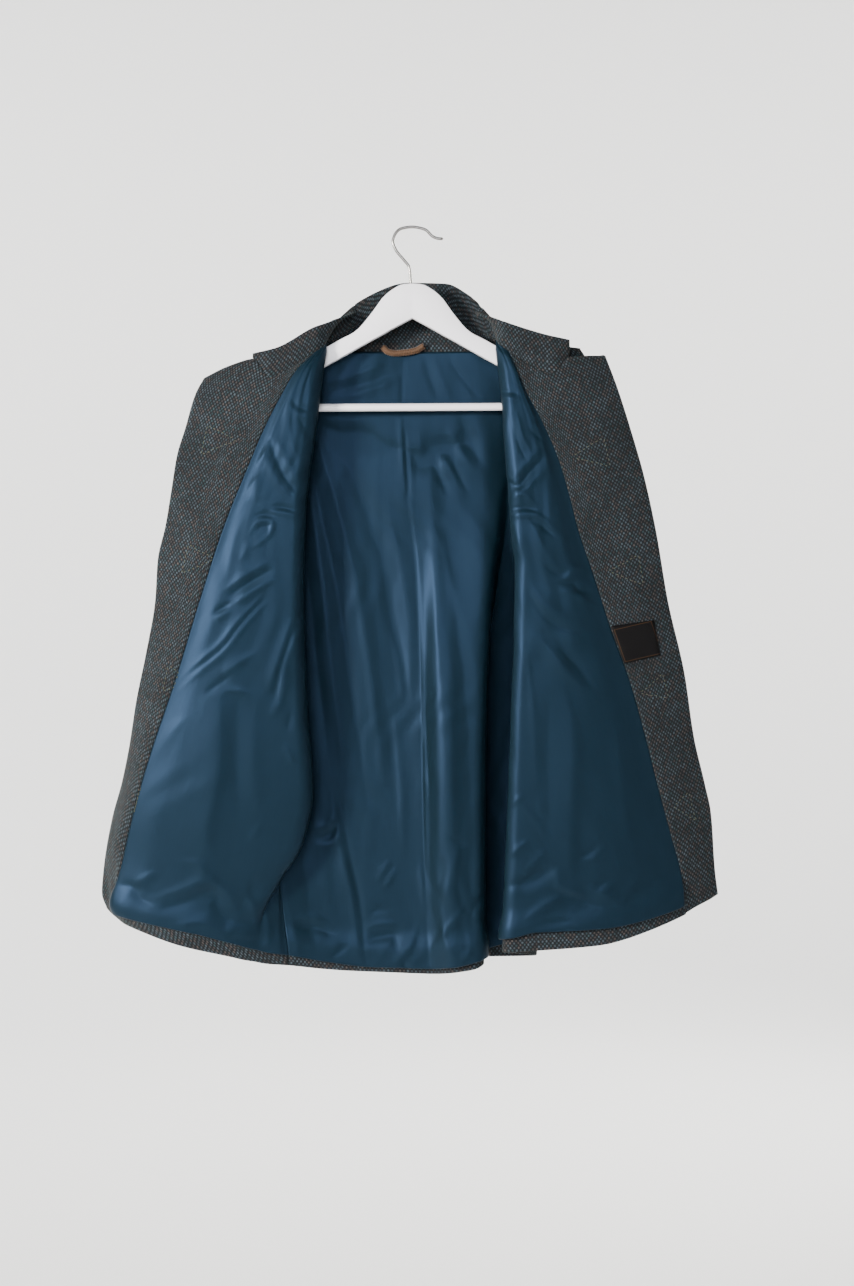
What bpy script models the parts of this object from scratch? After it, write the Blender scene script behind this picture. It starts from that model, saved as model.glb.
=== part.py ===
"""A tweed coat that hangs wide open on a white wooden hanger, its inside towards -Y.

Metres, +Z up, the hook's resting point at the origin. Each panel of cloth is one smooth
surface through a few ribs: lines from the top edge down to the hem, along its folds, edges
and seams. A rib's rows give height, side and depth in millimetres, as they look from the
front at LOOK_FROM, and `true_place` puts them at their true place for their depth.
"""

import math

import bmesh
import bpy
import numpy as np

MM = 0.001

# Where the sizes in the tables were looked at from, in metres.
LOOK_FROM = np.array([0.019, -2.5, -0.539])

# Cloth, in metres.
TWEED = 0.0020
COLLAR_CLOTH = 0.0030
LINING = 0.0010
SEAM_GAP = 0.0003
LINING_INSET = 0.004  # the lining stays this far below the shoulder seams
LINING_SIDE = 0.0020  # and this far in from the side seams
LINING_LIFT = 0.0006
# More room for a layer in the rows below the top edge, where the panels curve both ways.
TOP_LIFTS = (0.0014, 0.0010, 0.0006, 0.0003)
COLLAR_LIFT = 0.0024
NECK_FACING_FOOT = -0.159
UNDERARM = -0.386
ROUND_ABOVE = 0.020  # the side seams start to bend round this far above the underarm
ROUND_OVER = 0.050  # and are fully round this much further down
FOLD_STEP = 0.027  # widest column of a panel
MIDDLE_ROW = 0.45  # the share of a panel's height where its columns are measured
NORMAL_STEP = 0.0001
ROWS = (0.056, 0.10, 0.15, 0.20, 0.26, 0.32, 0.38, 0.45, 0.52, 0.59, 0.66, 0.74, 0.82, 0.91, 1)
BACK_ROWS = (0,) + ROWS
FRONT_ROWS = (0, 0.013, 0.03) + ROWS  # the fronts turn sharply at the neck

# The hanger, in metres.
WIRE_RADIUS = 0.0019
BOARD_DEPTH = 0.011
BAR_RADIUS = 0.005

# Ribs of the side seams below the underarm: height, side, depth.
SIDE_LEFT = (
    (-388, -191, 8), (-393, -191, 8), (-500, -190, 8), (-620, -190, 8), (-740, -188, 8),
    (-860, -172, 9), (-958, -160, 9),
)
SIDE_RIGHT = (
    (-388, 191, 8), (-393, 191, 8), (-470, 191, 12), (-560, 188, 28), (-700, 178, 40),
    (-850, 165, 44), (-945, 160, 44),
)

FRONT_LEFT = {
    "side": ((-178, -218, -2), (-198, -214, -11), (-240, -206, -14), (-310, -198, -13),
             (-360, -193, -3)) + SIDE_LEFT,
    "behind": ((-164, -168, -2), (-174, -168, -9), (-196, -168, -14), (-260, -168, -16),
               (-340, -167, -14), (-400, -167, -9), (-500, -167, -7), (-620, -166, -7),
               (-740, -165, -4), (-860, -180, 4), (-956, -190, 4)),
    "behind_fold": ((-152, -130, -3), (-160, -132, -10), (-185, -136, -14), (-240, -142, -17),
                    (-340, -150, -17), (-485, -155, -13), (-620, -152, -12),
                    (-740, -146, -9), (-860, -190, 0), (-953, -206, 1)),
    "fold": ((-148, -113, -6), (-155, -114, -12), (-185, -119, -18), (-238, -126, -24),
             (-381, -143, -25), (-485, -145, -22), (-615, -141, -20), (-730, -133, -17),
             (-800, -146, -12), (-860, -182, -6), (-910, -207, -3), (-951, -219, -2)),
    "turned": ((-152, -114, -14), (-185, -127, -27), (-238, -137, -33), (-381, -154, -34),
               (-485, -156, -32), (-615, -152, -30), (-730, -146, -26), (-800, -160, -19),
               (-860, -196, -11), (-910, -220, -7), (-948, -232, -5)),
    "lining_mid": ((-158, -120, -20), (-190, -140, -30), (-238, -157, -33),
                   (-313, -178, -33), (-400, -198, -33), (-500, -214, -33),
                   (-620, -232, -31), (-740, -244, -28), (-860, -280, -16),
                   (-933, -300, -10)),
    "facing_seam": ((-165, -129, -23), (-190, -153, -29), (-224, -173, -30),
                    (-257, -190, -30), (-313, -214, -29), (-393, -246, -27),
                    (-485, -276, -25), (-593, -309, -20), (-682, -339, -14),
                    (-758, -361, -8), (-824, -376, 0), (-880, -388, 7), (-905, -372, 10)),
    "gorge": ((-196, -185, -27), (-230, -202, -28), (-264, -222, -27), (-389, -268, -24),
              (-485, -293, -21), (-615, -332, -13), (-724, -362, -3), (-824, -385, 10),
              (-899, -381, 22)),
    "notch": ((-172, -207, -19), (-200, -224, -21), (-264, -246, -22), (-389, -286, -19),
              (-485, -308, -15), (-615, -343, -5), (-724, -368, 6), (-824, -391, 22),
              (-893, -388, 34)),
    "lapel": ((-182, -240, -15), (-215, -257, -16), (-264, -270, -17), (-389, -304, -13),
              (-485, -321, -8), (-615, -351, 3), (-724, -373, 16), (-824, -395, 32),
              (-889, -392, 45)),
    "edge": ((-197, -270, -10), (-217, -281, -10), (-264, -295, -10), (-296, -305, -10),
             (-346, -313, -8), (-389, -320, -6), (-433, -330, -3), (-485, -333, 0),
             (-556, -345, 5), (-615, -357, 10), (-675, -366, 18), (-724, -376, 26),
             (-768, -388, 34), (-840, -400, 46), (-866, -402, 50), (-885, -395, 56)),
}
FRONT_RIGHT = {
    "side": ((-161, 218, -2), (-184, 214, -11), (-240, 206, -14), (-310, 198, -13),
             (-360, 193, -3)) + SIDE_RIGHT,
    "behind": ((-155, 168, -2), (-165, 168, -9), (-190, 168, -14), (-260, 168, -16),
               (-340, 167, -14), (-400, 167, -9), (-500, 165, -2), (-600, 160, 10),
               (-700, 154, 16), (-850, 148, 18), (-943, 146, 18)),
    "behind_fold": ((-149, 128, -3), (-157, 129, -10), (-185, 132, -14), (-238, 135, -17),
                    (-340, 142, -17), (-420, 151, -14), (-550, 148, -8), (-680, 141, -4),
                    (-810, 136, -3), (-942, 132, -3)),
    "fold": ((-145, 110, -6), (-152, 111, -12), (-185, 115, -18), (-238, 121, -24),
             (-340, 128, -25), (-407, 133, -24), (-440, 137, -23), (-550, 135, -21),
             (-680, 130, -18), (-810, 125, -16), (-941, 119, -16)),
    "turned": ((-150, 112, -14), (-185, 123, -27), (-238, 131, -33), (-340, 139, -34),
               (-407, 144, -34), (-440, 148, -33), (-550, 146, -31), (-680, 141, -28),
               (-810, 137, -26), (-941, 132, -25)),
    "lining_mid": ((-156, 118, -20), (-185, 131, -29), (-213, 139, -32), (-250, 151, -33),
                   (-346, 171, -34), (-446, 192, -34), (-526, 203, -34), (-672, 222, -31),
                   (-788, 234, -28), (-932, 244, -22)),
    "facing_seam": ((-163, 126, -23), (-183, 134, -28), (-213, 147, -30), (-250, 167, -30),
                    (-303, 190, -29), (-346, 203, -28), (-396, 216, -27), (-446, 233, -26),
                    (-526, 259, -24), (-593, 283, -21), (-672, 305, -17), (-728, 319, -14),
                    (-788, 335, -10), (-850, 350, -5), (-893, 352, -3)),
    "gorge": ((-191, 181, -27), (-225, 198, -28), (-264, 208, -27), (-396, 246, -24),
              (-485, 273, -21), (-582, 301, -17), (-664, 322, -12), (-724, 337, -9),
              (-836, 361, -1), (-885, 365, 2)),
    "notch": ((-170, 204, -20), (-211, 232, -22), (-264, 240, -22), (-396, 272, -20),
              (-485, 295, -17), (-582, 320, -12), (-664, 338, -7), (-724, 352, -4),
              (-836, 373, 4), (-879, 376, 6)),
    "lapel": ((-168, 230, -14), (-211, 252, -16), (-264, 264, -17), (-396, 297, -14),
              (-485, 315, -11), (-582, 338, -6), (-664, 353, -1), (-724, 367, 2),
              (-836, 384, 9), (-873, 387, 11)),
    "edge": ((-168, 250, -8), (-211, 266, -10), (-264, 283, -10), (-323, 300, -9),
             (-396, 316, -8), (-485, 331, -5), (-582, 353, 0), (-664, 365, 5),
             (-724, 379, 8), (-761, 387, 10), (-836, 392, 14), (-867, 396, 16)),
}
BACK = {
    "side_left": ((-178, -218, 2), (-198, -214, 13), (-240, -206, 21), (-310, -198, 22),
                  (-360, -193, 16)) + SIDE_LEFT,
    "left": ((-164, -168, 2), (-174, -169, 10), (-196, -170, 19), (-240, -170, 26),
             (-310, -168, 30), (-450, -162, 32), (-620, -158, 32), (-740, -152, 28),
             (-860, -135, 20), (-962, -122, 16)),
    "neck_left": ((-150, -113, 4), (-158, -114, 13), (-180, -117, 17), (-220, -118, 22),
                  (-310, -116, 27), (-450, -112, 28), (-620, -106, 28), (-740, -100, 26),
                  (-860, -90, 22), (-965, -80, 18)),
    "mid_left": ((-124, -62, 26), (-160, -62, 21), (-240, -60, 22), (-400, -56, 26),
                 (-620, -50, 26), (-800, -42, 22), (-967, -30, 16)),
    "centre": ((-119, -9, 34), (-160, -11, 25), (-240, -10, 22), (-346, -8, 22),
               (-412, 2, 24), (-459, 6, 24), (-619, 12, 22), (-768, 15, 18),
               (-900, 19, 14), (-969, 23, 12)),
    "mid_right": ((-122, 46, 27), (-160, 46, 21), (-240, 46, 21), (-400, 50, 20),
                  (-520, 54, 12), (-700, 54, 4), (-860, 56, 0), (-967, 60, -2)),
    "bulge": ((-134, 84, 14), (-165, 86, 17), (-240, 88, 20), (-350, 92, 20),
              (-433, 92, 10), (-537, 86, -2), (-745, 82, -8), (-963, 82, -10)),
    "bulge_edge": ((-147, 110, 4), (-155, 111, 13), (-180, 112, 17), (-220, 112, 21),
                   (-310, 110, 24), (-400, 106, 20), (-433, 102, 14), (-537, 96, 6),
                   (-745, 91, 2), (-957, 91, 0)),
    "deep": ((-150, 136, 2), (-160, 136, 10), (-190, 136, 18), (-240, 134, 25),
             (-310, 130, 30), (-400, 120, 34), (-470, 107, 40), (-560, 94, 46),
             (-745, 87, 50), (-948, 87, 48)),
    "right": ((-155, 168, 2), (-165, 169, 10), (-190, 170, 19), (-240, 170, 26),
              (-310, 168, 30), (-400, 162, 36), (-500, 152, 50), (-620, 132, 58),
              (-745, 120, 62), (-946, 114, 60)),
    "side_right": ((-161, 218, 2), (-184, 214, 13), (-240, 206, 21), (-310, 198, 22),
                   (-360, 193, 16)) + SIDE_RIGHT,
}

# How far up from the hem the lining stops on each side, as seen: side, millimetres.
LINING_FOOT = ((-400, 16), (-283, 20), (-171, 14), (-59, 6), (60, 7), (90, 10), (155, 24),
               (240, 22), (345, 12))

# The collar, from the left notch round the neck to the right notch, at these panels' ribs:
# the roll (height, side, depth) and the outer edge (the same).
COLLAR = {
    ("front_left", "notch"): ((-168, -207, -19), (-165, -207, -18)),
    ("front_left", "gorge"): ((-178, -181, -27), (-158, -179, -25)),
    ("front_left", "facing_seam"): ((-147, -128, -25), (-131, -129, -24)),
    ("front_left", "fold"): ((-136, -107, -9), (-122, -103, -13)),
    ("back", "neck_left"): ((-120, -94, 12), (-116, -84, 4)),
    ("back", "mid_left"): ((-92, -58, 36), (-110, -58, 46)),
    ("back", "centre"): ((-74, -6, 42), (-132, -8, 56)),
    ("back", "mid_right"): ((-75, 42, 38), (-128, 46, 54)),
    ("back", "bulge"): ((-88, 70, 26), (-112, 78, 42)),
    ("back", "bulge_edge"): ((-114, 97, 12), (-114, 84, 4)),
    ("front_right", "fold"): ((-130, 107, -9), (-117, 100, -13)),
    ("front_right", "facing_seam"): ((-142, 124, -25), (-124, 122, -24)),
    ("front_right", "gorge"): ((-167, 180, -28), (-142, 181, -25)),
    ("front_right", "notch"): ((-156, 204, -21), (-147, 204, -20)),
}
COLLAR_FEET = (("front_left", "notch", "fold"), ("back", "neck_left", "bulge_edge"),
               ("front_right", "fold", "notch"))
COLLAR_KNOTS = (0, 0.45, 1)
COLLAR_RISE = 8
COLLAR_NOTCH_LIFT = {"front_left": 0.0015, "front_right": 0.006}

# Sleeves: the outer and inner edge of the flattened tube from the armhole to the cuff, and
# half its thickness. Columns: height, side, depth for each edge, then the half thickness.
SLEEVE = (
    ((-188, 236, 6), (-395, 197, 11), 17),
    ((-206, 256, 16), (-404, 201, 18), 17),
    ((-246, 275, 26), (-424, 203, 27), 17),
    ((-310, 289, 33), (-462, 205, 34), 16),
    ((-400, 299, 40), (-520, 206, 40), 15),
    ((-520, 307, 44), (-600, 207, 44), 14),
    ((-650, 314, 46), (-700, 207, 46), 13),
    ((-776, 320, 47), (-790, 208, 47), 12),
)
SLEEVE_GAP = 0.0016
SLEEVE_FLATNESS = 0.7  # 1 is an ellipse, less is flatter
SLEEVE_AROUND = 16
SLEEVE_RINGS = 12

# The hanger's board: side, top, foot, in millimetres below the hook's wire.
BOARD = ((0, -74, -119), (12, -75, -125.5), (26, -82, -133), (38, -92, -140),
         (51, -110, -147), (75, -137, -160.5), (92, -146, -170), (112, -157, -181),
         (150, -178, -202), (192, -200, -226), (193, -200.5, -245), (205, -207, -246),
         (212, -214, -240))
BAR = ((-191.7, -235.4), (191.7, -233.4))
HOOK = ((-73, -2), (-53, -4), (-42.5, -11.5), (-30, -21.5), (-19, -25.3), (-9, -22.2),
        (-2.3, -15), (0, 0), (-1, 8.5), (-4, 17.5), (-12.4, 26.3), (-15, 33), (-15.6, 40.3))
HOOK_POINTS = 36

# The braided loop at the back neck and the label: height, side, depth.
LOOP = ((-156, -38, 17), (-162, -32, 15), (-164, -22, 15), (-163, -8, 15), (-160, 6, 15),
        (-155, 14, 16))
LOOP_RADIUS = 0.0035
LOOP_POINTS = 12
LABEL_TOP = -0.517
LABEL_HEIGHT = 0.044
LABEL_WIDTH = 0.056
LABEL_THICK = 0.0008
LABEL_LIFT = 0.0006
LABEL_IN = 0.002  # from the facing's seam

# The fastenings on the outer faces, in metres: the height of each row, and the room that
# they need off the left and the right front where it is hollow.
FASTENING_ROWS = ((-0.291, 0.0009, 0.0005), (-0.446, 0.0013, 0.0007), (-0.597, 0.0019, 0.0005),
                  (-0.753, 0.0033, 0.0005))
PATCH_BASE = 0.038
PATCH_TIP = 0.006
PATCH_REACH = 0.045
PATCH_IN = 0.036  # from the front edge to the patch's base
PATCH_THICK = 0.0015
CORD_RADIUS = 0.0017
CORD_POINTS = 16
LOOP_ROUTE = ((0.0045, -0.004), (0.0095, -0.003), (0.0130, 0.012), (0.0135, 0.050),
              (0.0090, 0.058), (0.0047, 0.050), (0.0045, 0.012))
CORD_ROUTE = ((0.0030, -0.003), (0.0060, -0.001), (0.0080, 0.010), (0.0080, 0.0385))
TOGGLE_LENGTH = 0.042
TOGGLE_OUT = 0.008
TOGGLE_DROP = 0.045
TOGGLE_SIDES = 12
# A toggle's outline: how far along, from -1 to 1, and its radius in millimetres.
TOGGLE = ((-1, 1.6), (-0.93, 3.0), (-0.7, 4.4), (-0.3, 5.6), (0, 5.9), (0.3, 5.6), (0.7, 4.4),
          (0.93, 3.0), (1, 1.6))

COLOURS = {
    "tweed": ("#3d4450", 0.95, 0.0),
    "satin": ("#1c3a4d", 0.35, 0.0),
    "lacquer": ("#e4e3ea", 0.35, 0.0),
    "steel": ("#b9b7b2", 0.2, 1.0),
    "braid": ("#8a5a35", 0.8, 0.0),
    "label": ("#17161a", 0.7, 0.0),
    "leather": ("#3a2c25", 0.55, 0.0),
    "cord": ("#2b2623", 0.8, 0.0),
    "horn": ("#5b4632", 0.3, 0.0),
}


def clear_scene():
    for thing in list(bpy.data.objects):
        bpy.data.objects.remove(thing, do_unlink=True)


def linear(hex_colour):
    """The linear RGBA of an sRGB hex colour."""
    parts = [int(hex_colour[i:i + 2], 16) / 255 for i in (1, 3, 5)]
    return [p / 12.92 if p <= 0.04045 else ((p + 0.055) / 1.055) ** 2.4 for p in parts] + [1]


def make_materials():
    for name, (colour, roughness, metallic) in COLOURS.items():
        made = bpy.data.materials.new(name)
        made.use_nodes = True
        shader = made.node_tree.nodes["Principled BSDF"]
        shader.inputs["Base Color"].default_value = linear(colour)
        shader.inputs["Roughness"].default_value = roughness
        shader.inputs["Metallic"].default_value = metallic
        made.diffuse_color = linear(colour)


def true_place(rows):
    """Rows of height, side and depth in millimetres as seen, as true X, Y, Z in metres."""
    rows = np.asarray(rows, float) * MM
    seen = np.stack([rows[..., 1], rows[..., 2], rows[..., 0] + WIRE_RADIUS], axis=-1)
    nearer = 1 - seen[..., 1:2] / LOOK_FROM[1]
    placed = LOOK_FROM + (seen - LOOK_FROM) * nearer
    placed[..., 1] = seen[..., 1]
    return placed


def slopes_at(knots, values):
    """Slopes for a curve that never swings past its knots: none where it turns back."""
    step = np.diff(knots).reshape((-1,) + (1,) * (values.ndim - 1))
    rise = np.diff(values, axis=0) / step
    before, after = rise[:-1], rise[1:]
    near, far = 2 * step[1:] + step[:-1], step[1:] + 2 * step[:-1]
    onward = before * after > 0
    mean = np.where(onward, near * after + far * before, 1)
    inner = np.where(onward, (near + far) * before * after / mean, 0)
    return np.concatenate([rise[:1], inner, rise[-1:]])


def smooth(knots, values, at):
    """A smooth curve through values at knots, read at `at`. Values may hold one curve for
    each place in `at`, after their first axis."""
    knots = np.asarray(knots, float)
    at = np.asarray(at, float)
    slopes = slopes_at(knots, values)
    low = np.clip(np.searchsorted(knots, at, side="right") - 1, 0, len(knots) - 2)
    step = (knots[low + 1] - knots[low])[..., None]
    t = (at - knots[low])[..., None] / step

    def pick(table, index):
        if table.ndim == 2:
            return table[index]
        return np.take_along_axis(table, index[None, ..., None], axis=0)[0]

    start, end = pick(values, low), pick(values, low + 1)
    leave, arrive = pick(slopes, low), pick(slopes, low + 1)
    return (start * (1 + 2 * t) * (1 - t) ** 2 + end * t ** 2 * (3 - 2 * t)
            + step * (leave * t * (1 - t) ** 2 - arrive * t ** 2 * (1 - t)))


def rib_points(rows, down):
    """The points of one rib at shares `down` of its way from the top edge to the hem."""
    points = true_place(rows)
    fall = -points[:, 2]
    at = fall[0] + (fall[-1] - fall[0]) * down
    return smooth(fall, points, at)


def ease(t):
    t = np.clip(t, 0, 1)
    return t * t * (3 - 2 * t)


def vertex_normals(grid):
    """The mean normal of the triangles round each point of a grid."""
    rows, columns = grid.shape[:2]
    points = grid.reshape(-1, 3)
    faces = np.array(grid_faces(rows, columns))
    corners = points[faces]
    facing = np.cross(corners[:, 1] - corners[:, 0], corners[:, 2] - corners[:, 0])
    facing /= np.linalg.norm(facing, axis=1, keepdims=True)
    total = np.zeros_like(points)
    for corner in range(3):
        np.add.at(total, faces[:, corner], facing)
    return (total / np.linalg.norm(total, axis=1, keepdims=True)).reshape(grid.shape)


class Panel:
    """A piece of cloth through its ribs, and the grid of points that its layers share."""

    def __init__(self, ribs, rows, before=None, after=None):
        """before and after are the ribs that lie past the side seams below the underarm."""
        self.names = list(ribs)
        self.ribs = list(ribs.values())
        self.before = before
        self.after = after
        middle = np.array([rib_points(rows, np.array(MIDDLE_ROW)) for rows in self.ribs])
        steps = np.linalg.norm(np.diff(middle, axis=0), axis=1)
        self.across = np.concatenate([[0], np.cumsum(steps)])
        self.columns = [0.0]
        self.rib_column = [0]
        for start, end in zip(self.across, self.across[1:]):
            count = max(1, math.ceil((end - start) / FOLD_STEP))
            self.columns += [start + (end - start) * (i + 1) / count for i in range(count)]
            self.rib_column.append(len(self.columns) - 1)
        self.points = self.surface(*np.meshgrid(self.columns, rows))
        self.normals = vertex_normals(self.points)

    def surface(self, across, down):
        down = np.asarray(down, float)
        stack = [rib_points(rows, down) for rows in self.ribs]
        knots = list(self.across)
        if self.before is not None:
            stack.insert(0, self.past(stack[0], stack[1], self.before, down))
            knots.insert(0, -(self.across[1] - self.across[0]))
        if self.after is not None:
            stack.append(self.past(stack[-1], stack[-2], self.after, down))
            knots.append(2 * self.across[-1] - self.across[-2])
        return smooth(knots, np.array(stack), across)

    def past(self, edge, inner, rows, down):
        """The way on past a side edge: straight out over the armhole, and round into the
        next panel below the underarm."""
        round_it = ease((UNDERARM + ROUND_ABOVE - edge[..., 2:3]) / ROUND_OVER)
        return (2 * edge - inner) * (1 - round_it) + rib_points(rows, down) * round_it

    def find_normals(self, across, down):
        little = NORMAL_STEP
        along = self.surface(across + little, down) - self.surface(across - little, down)
        fall = self.surface(across, down + little) - self.surface(across, down - little)
        normal = np.cross(along, fall)
        return normal / np.linalg.norm(normal, axis=-1, keepdims=True)

    def column(self, rib):
        return self.rib_column[self.names.index(rib)]


class Layer:
    """Part of a panel's grid: columns first..last, moved out by `lift` metres. side is 1 to
    move it along the panel's normals and -1 to move it against them."""

    def __init__(self, panel, first=0, last=None, side=0, lift=0.0):
        last = len(panel.columns) - 1 if last is None else last
        lifts = np.full((len(panel.points), 1, 1), lift)
        if lift:
            lifts[:len(TOP_LIFTS), 0, 0] += TOP_LIFTS
        normals = panel.normals[:, first:last + 1] * side
        self.points = panel.points[:, first:last + 1] + normals * lifts

    def cut_rows(self, top, foot):
        """Moves the top and bottom row towards their neighbours, by a share per column."""
        for edge, inner, share in ((0, 1, top[:, None]), (-1, -2, foot[:, None])):
            self.points[edge] = self.points[edge] * (1 - share) + self.points[inner] * share

    def cut_sides(self, start=0.0, end=0.0):
        """Moves the first and last column in by a distance in metres."""
        for edge, inner, cut in ((0, 1, start), (-1, -2, end)):
            way = self.points[:, inner] - self.points[:, edge]
            length = np.linalg.norm(way, axis=1, keepdims=True)
            self.points[:, edge] += way * (cut / length)


def mesh_object(name, vertices, faces, material):
    mesh = bpy.data.meshes.new(name)
    mesh.from_pydata([tuple(v) for v in vertices], [], faces)
    mesh.materials.append(bpy.data.materials[material])
    made = bpy.data.objects.new(name, mesh)
    bpy.context.scene.collection.objects.link(made)
    mesh.shade_smooth()
    return made


def grid_faces(rows, columns, closed=False):
    """Two triangles a cell, all cut the same way, so that layers on one grid never cross."""
    around = columns if closed else columns - 1
    faces = []
    for j in range(rows - 1):
        for i in range(around):
            k = (i + 1) % columns
            above, below = j * columns, (j + 1) * columns
            faces.append((above + i, above + k, below + k))
            faces.append((above + i, below + k, below + i))
    return faces


def cloth(name, grid, thickness, side, material, closed=False):
    """A wall of cloth from a grid of points. side 1 thickens it along du x dv, -1 against
    it, and 0 to both sides."""
    rows, columns = grid.shape[:2]
    made = mesh_object(name, grid.reshape(-1, 3), grid_faces(rows, columns, closed), material)
    wall = made.modifiers.new("wall", "SOLIDIFY")
    wall.thickness = thickness
    wall.offset = side


def tube(name, points, radius, material, resolution=2):
    data = bpy.data.curves.new(name, "CURVE")
    data.dimensions = "3D"
    data.bevel_depth = radius
    data.bevel_resolution = resolution
    data.use_fill_caps = True
    spline = data.splines.new("POLY")
    spline.points.add(len(points) - 1)
    for point, place in zip(spline.points, points):
        point.co = (*place, 1)
    data.materials.append(bpy.data.materials[material])
    bpy.context.scene.collection.objects.link(bpy.data.objects.new(name, data))


def make_hanger():
    section = [(math.cos(a), math.sin(a)) for a in
               [math.radians(22.5 + 45 * i) for i in range(8)]]
    reach = max(c for c, _ in section)
    table = [(-x, top, foot) for x, top, foot in reversed(BOARD[1:])] + list(BOARD)
    vertices = []
    for x, top, foot in table:
        middle, half = (top + foot) / 2, (top - foot) / 2
        for across, up in section:
            vertices.append((x * MM, across / reach * BOARD_DEPTH / 2,
                             (middle + up / reach * half) * MM + WIRE_RADIUS))
    sides = len(section)
    faces = grid_faces(len(table), sides, closed=True)
    faces.append(tuple(range(sides)))
    faces.append(tuple(reversed(range(len(vertices) - sides, len(vertices)))))
    board = mesh_object("hanger_board", vertices, faces, "lacquer")
    turn_out(board)
    bar = [(x * MM, 0, z * MM + WIRE_RADIUS) for x, z in BAR]
    tube("hanger_bar", bar, BAR_RADIUS, "lacquer", 3)
    route = np.array([(x * MM, 0, z * MM + WIRE_RADIUS) for z, x in HOOK])
    gone = np.concatenate([[0], np.cumsum(np.linalg.norm(np.diff(route, axis=0), axis=1))])
    wire = smooth(gone, route, np.linspace(0, gone[-1], HOOK_POINTS))
    tube("hanger_hook", wire, WIRE_RADIUS, "steel")


def turn_out(made):
    """Turns every face outwards."""
    mesh = bmesh.new()
    mesh.from_mesh(made.data)
    bmesh.ops.recalc_face_normals(mesh, faces=mesh.faces)
    mesh.to_mesh(made.data)
    mesh.free()


def lining_foot(layer_points):
    """How much of the last row the lining leaves bare, as a share, for each column."""
    sides, bare = zip(*LINING_FOOT)
    hem, above = layer_points[-1], layer_points[-2]
    lift = np.interp(hem[:, 0], np.array(sides) * MM, np.array(bare) * MM)
    return lift / np.linalg.norm(above - hem, axis=1)


def lining_top(panel_points):
    """How far below the top row the lining starts, as a share, for each column."""
    top, below = panel_points[0, :, 2], panel_points[1, :, 2]
    start = np.minimum(top - LINING_INSET, NECK_FACING_FOOT)
    return (top - start) / (top - below)


def make_panel(name, panel, tweed_side, lining_columns, facing_from=None):
    """The tweed of a panel, and the lining and facing on its other side. The back is cut in
    two halves, which meet at its centre seam."""
    if facing_from is None:
        middle = panel.column("centre")
        for half, first, last in (("left", 0, middle), ("right", middle, None)):
            shell = Layer(panel, first, last)
            shell.cut_sides(SEAM_GAP, SEAM_GAP)
            cloth(name + "_" + half, shell.points, TWEED, tweed_side, "tweed")
    else:
        shell = Layer(panel)
        shell.cut_sides(SEAM_GAP)
        cloth(name, shell.points, TWEED, tweed_side, "tweed")
    first, last = lining_columns
    lining = Layer(panel, first, last, -tweed_side, LINING_LIFT)
    points = panel.points[:, first:last + 1]
    fall = points[0, :, 2] - points[1, :, 2]
    start = lining_top(points) if facing_from is None else SEAM_GAP / fall
    lining.cut_rows(start, lining_foot(points))
    lining.cut_sides(LINING_SIDE, LINING_SIDE if facing_from is None else SEAM_GAP)
    cloth("lining_" + name, lining.points, LINING, -tweed_side, "satin")
    if facing_from is not None:
        facing = Layer(panel, facing_from, None, -tweed_side, SEAM_GAP)
        facing.cut_sides(SEAM_GAP, 0)
        cloth(name.replace("front", "facing"), facing.points, TWEED, -tweed_side, "tweed")


def make_neck_facing(back):
    first, last = back.column("neck_left"), back.column("bulge_edge")
    layer = Layer(back, first, last, -1, LINING_LIFT)
    points = back.points[:, first:last + 1]
    share = lining_top(points)[:, None] - SEAM_GAP / (points[0] - points[1])[:, 2:3]
    foot = layer.points[0] * (1 - share) + layer.points[1] * share
    cloth("neck_facing", np.stack([layer.points[0], foot]), LINING, -1, "tweed")


def make_sleeve(name, side, front, back):
    """A flattened tube from the armhole down to an open cuff, cut as an upper and an under
    sleeve that meet at its two edges. side is -1 on the left."""
    edge = 0 if side < 0 else -1
    turns = np.linspace(0, 2 * math.pi, SLEEVE_AROUND, endpoint=False)
    armhole_end = (UNDERARM - back.points[0, edge, 2]) / (
        back.points[-1, edge, 2] - back.points[0, edge, 2])
    ring = []
    for turn in turns:
        down = np.array([[armhole_end * (1 - math.cos(turn)) / 2]])
        panel, outwards = (back, 1) if turn <= math.pi else (front, side)
        u = 0.0 if (panel is front or side < 0) else back.across[-1]
        across = np.array([[u]])
        point = panel.surface(across, down)[0, 0]
        normal = panel.find_normals(across, down)[0, 0] * outwards
        ring.append(point + normal * TWEED + np.array([side * SLEEVE_GAP, 0, 0]))
    ring = np.array(ring)
    rows = [ring]
    along = (1 - np.cos(turns)) / 2
    round_it = np.sin(turns)
    edges = np.array([[true_place(((z, x * side, y),))[0] for z, x, y in (outer, inner)]
                      for outer, inner, _ in SLEEVE])
    halves = np.array([half * MM for _, _, half in SLEEVE])
    for (outer, inner), half in zip(edges, halves):
        points = outer + (inner - outer) * along[:, None]
        points[:, 1] += np.sign(round_it) * np.abs(round_it) ** SLEEVE_FLATNESS * half
        rows.append(points)
    knots = np.arange(len(rows), dtype=float)
    at = np.linspace(0, knots[-1], SLEEVE_RINGS + 1)
    grid = np.stack([smooth(knots, np.array(rows)[:, i], at) for i in range(SLEEVE_AROUND)],
                    axis=1)
    half = SLEEVE_AROUND // 2
    for piece, columns in (("under", list(range(half + 1))),
                           ("upper", list(range(half, SLEEVE_AROUND)) + [0])):
        cut = grid[:, columns]
        for edge, inner in ((0, 1), (-1, -2)):
            way = cut[:, inner] - cut[:, edge]
            cut[:, edge] += way * (SEAM_GAP / np.linalg.norm(way, axis=1, keepdims=True))
        cloth(name + "_" + piece, cut, TWEED, 1 if side < 0 else -1, "tweed")


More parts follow.
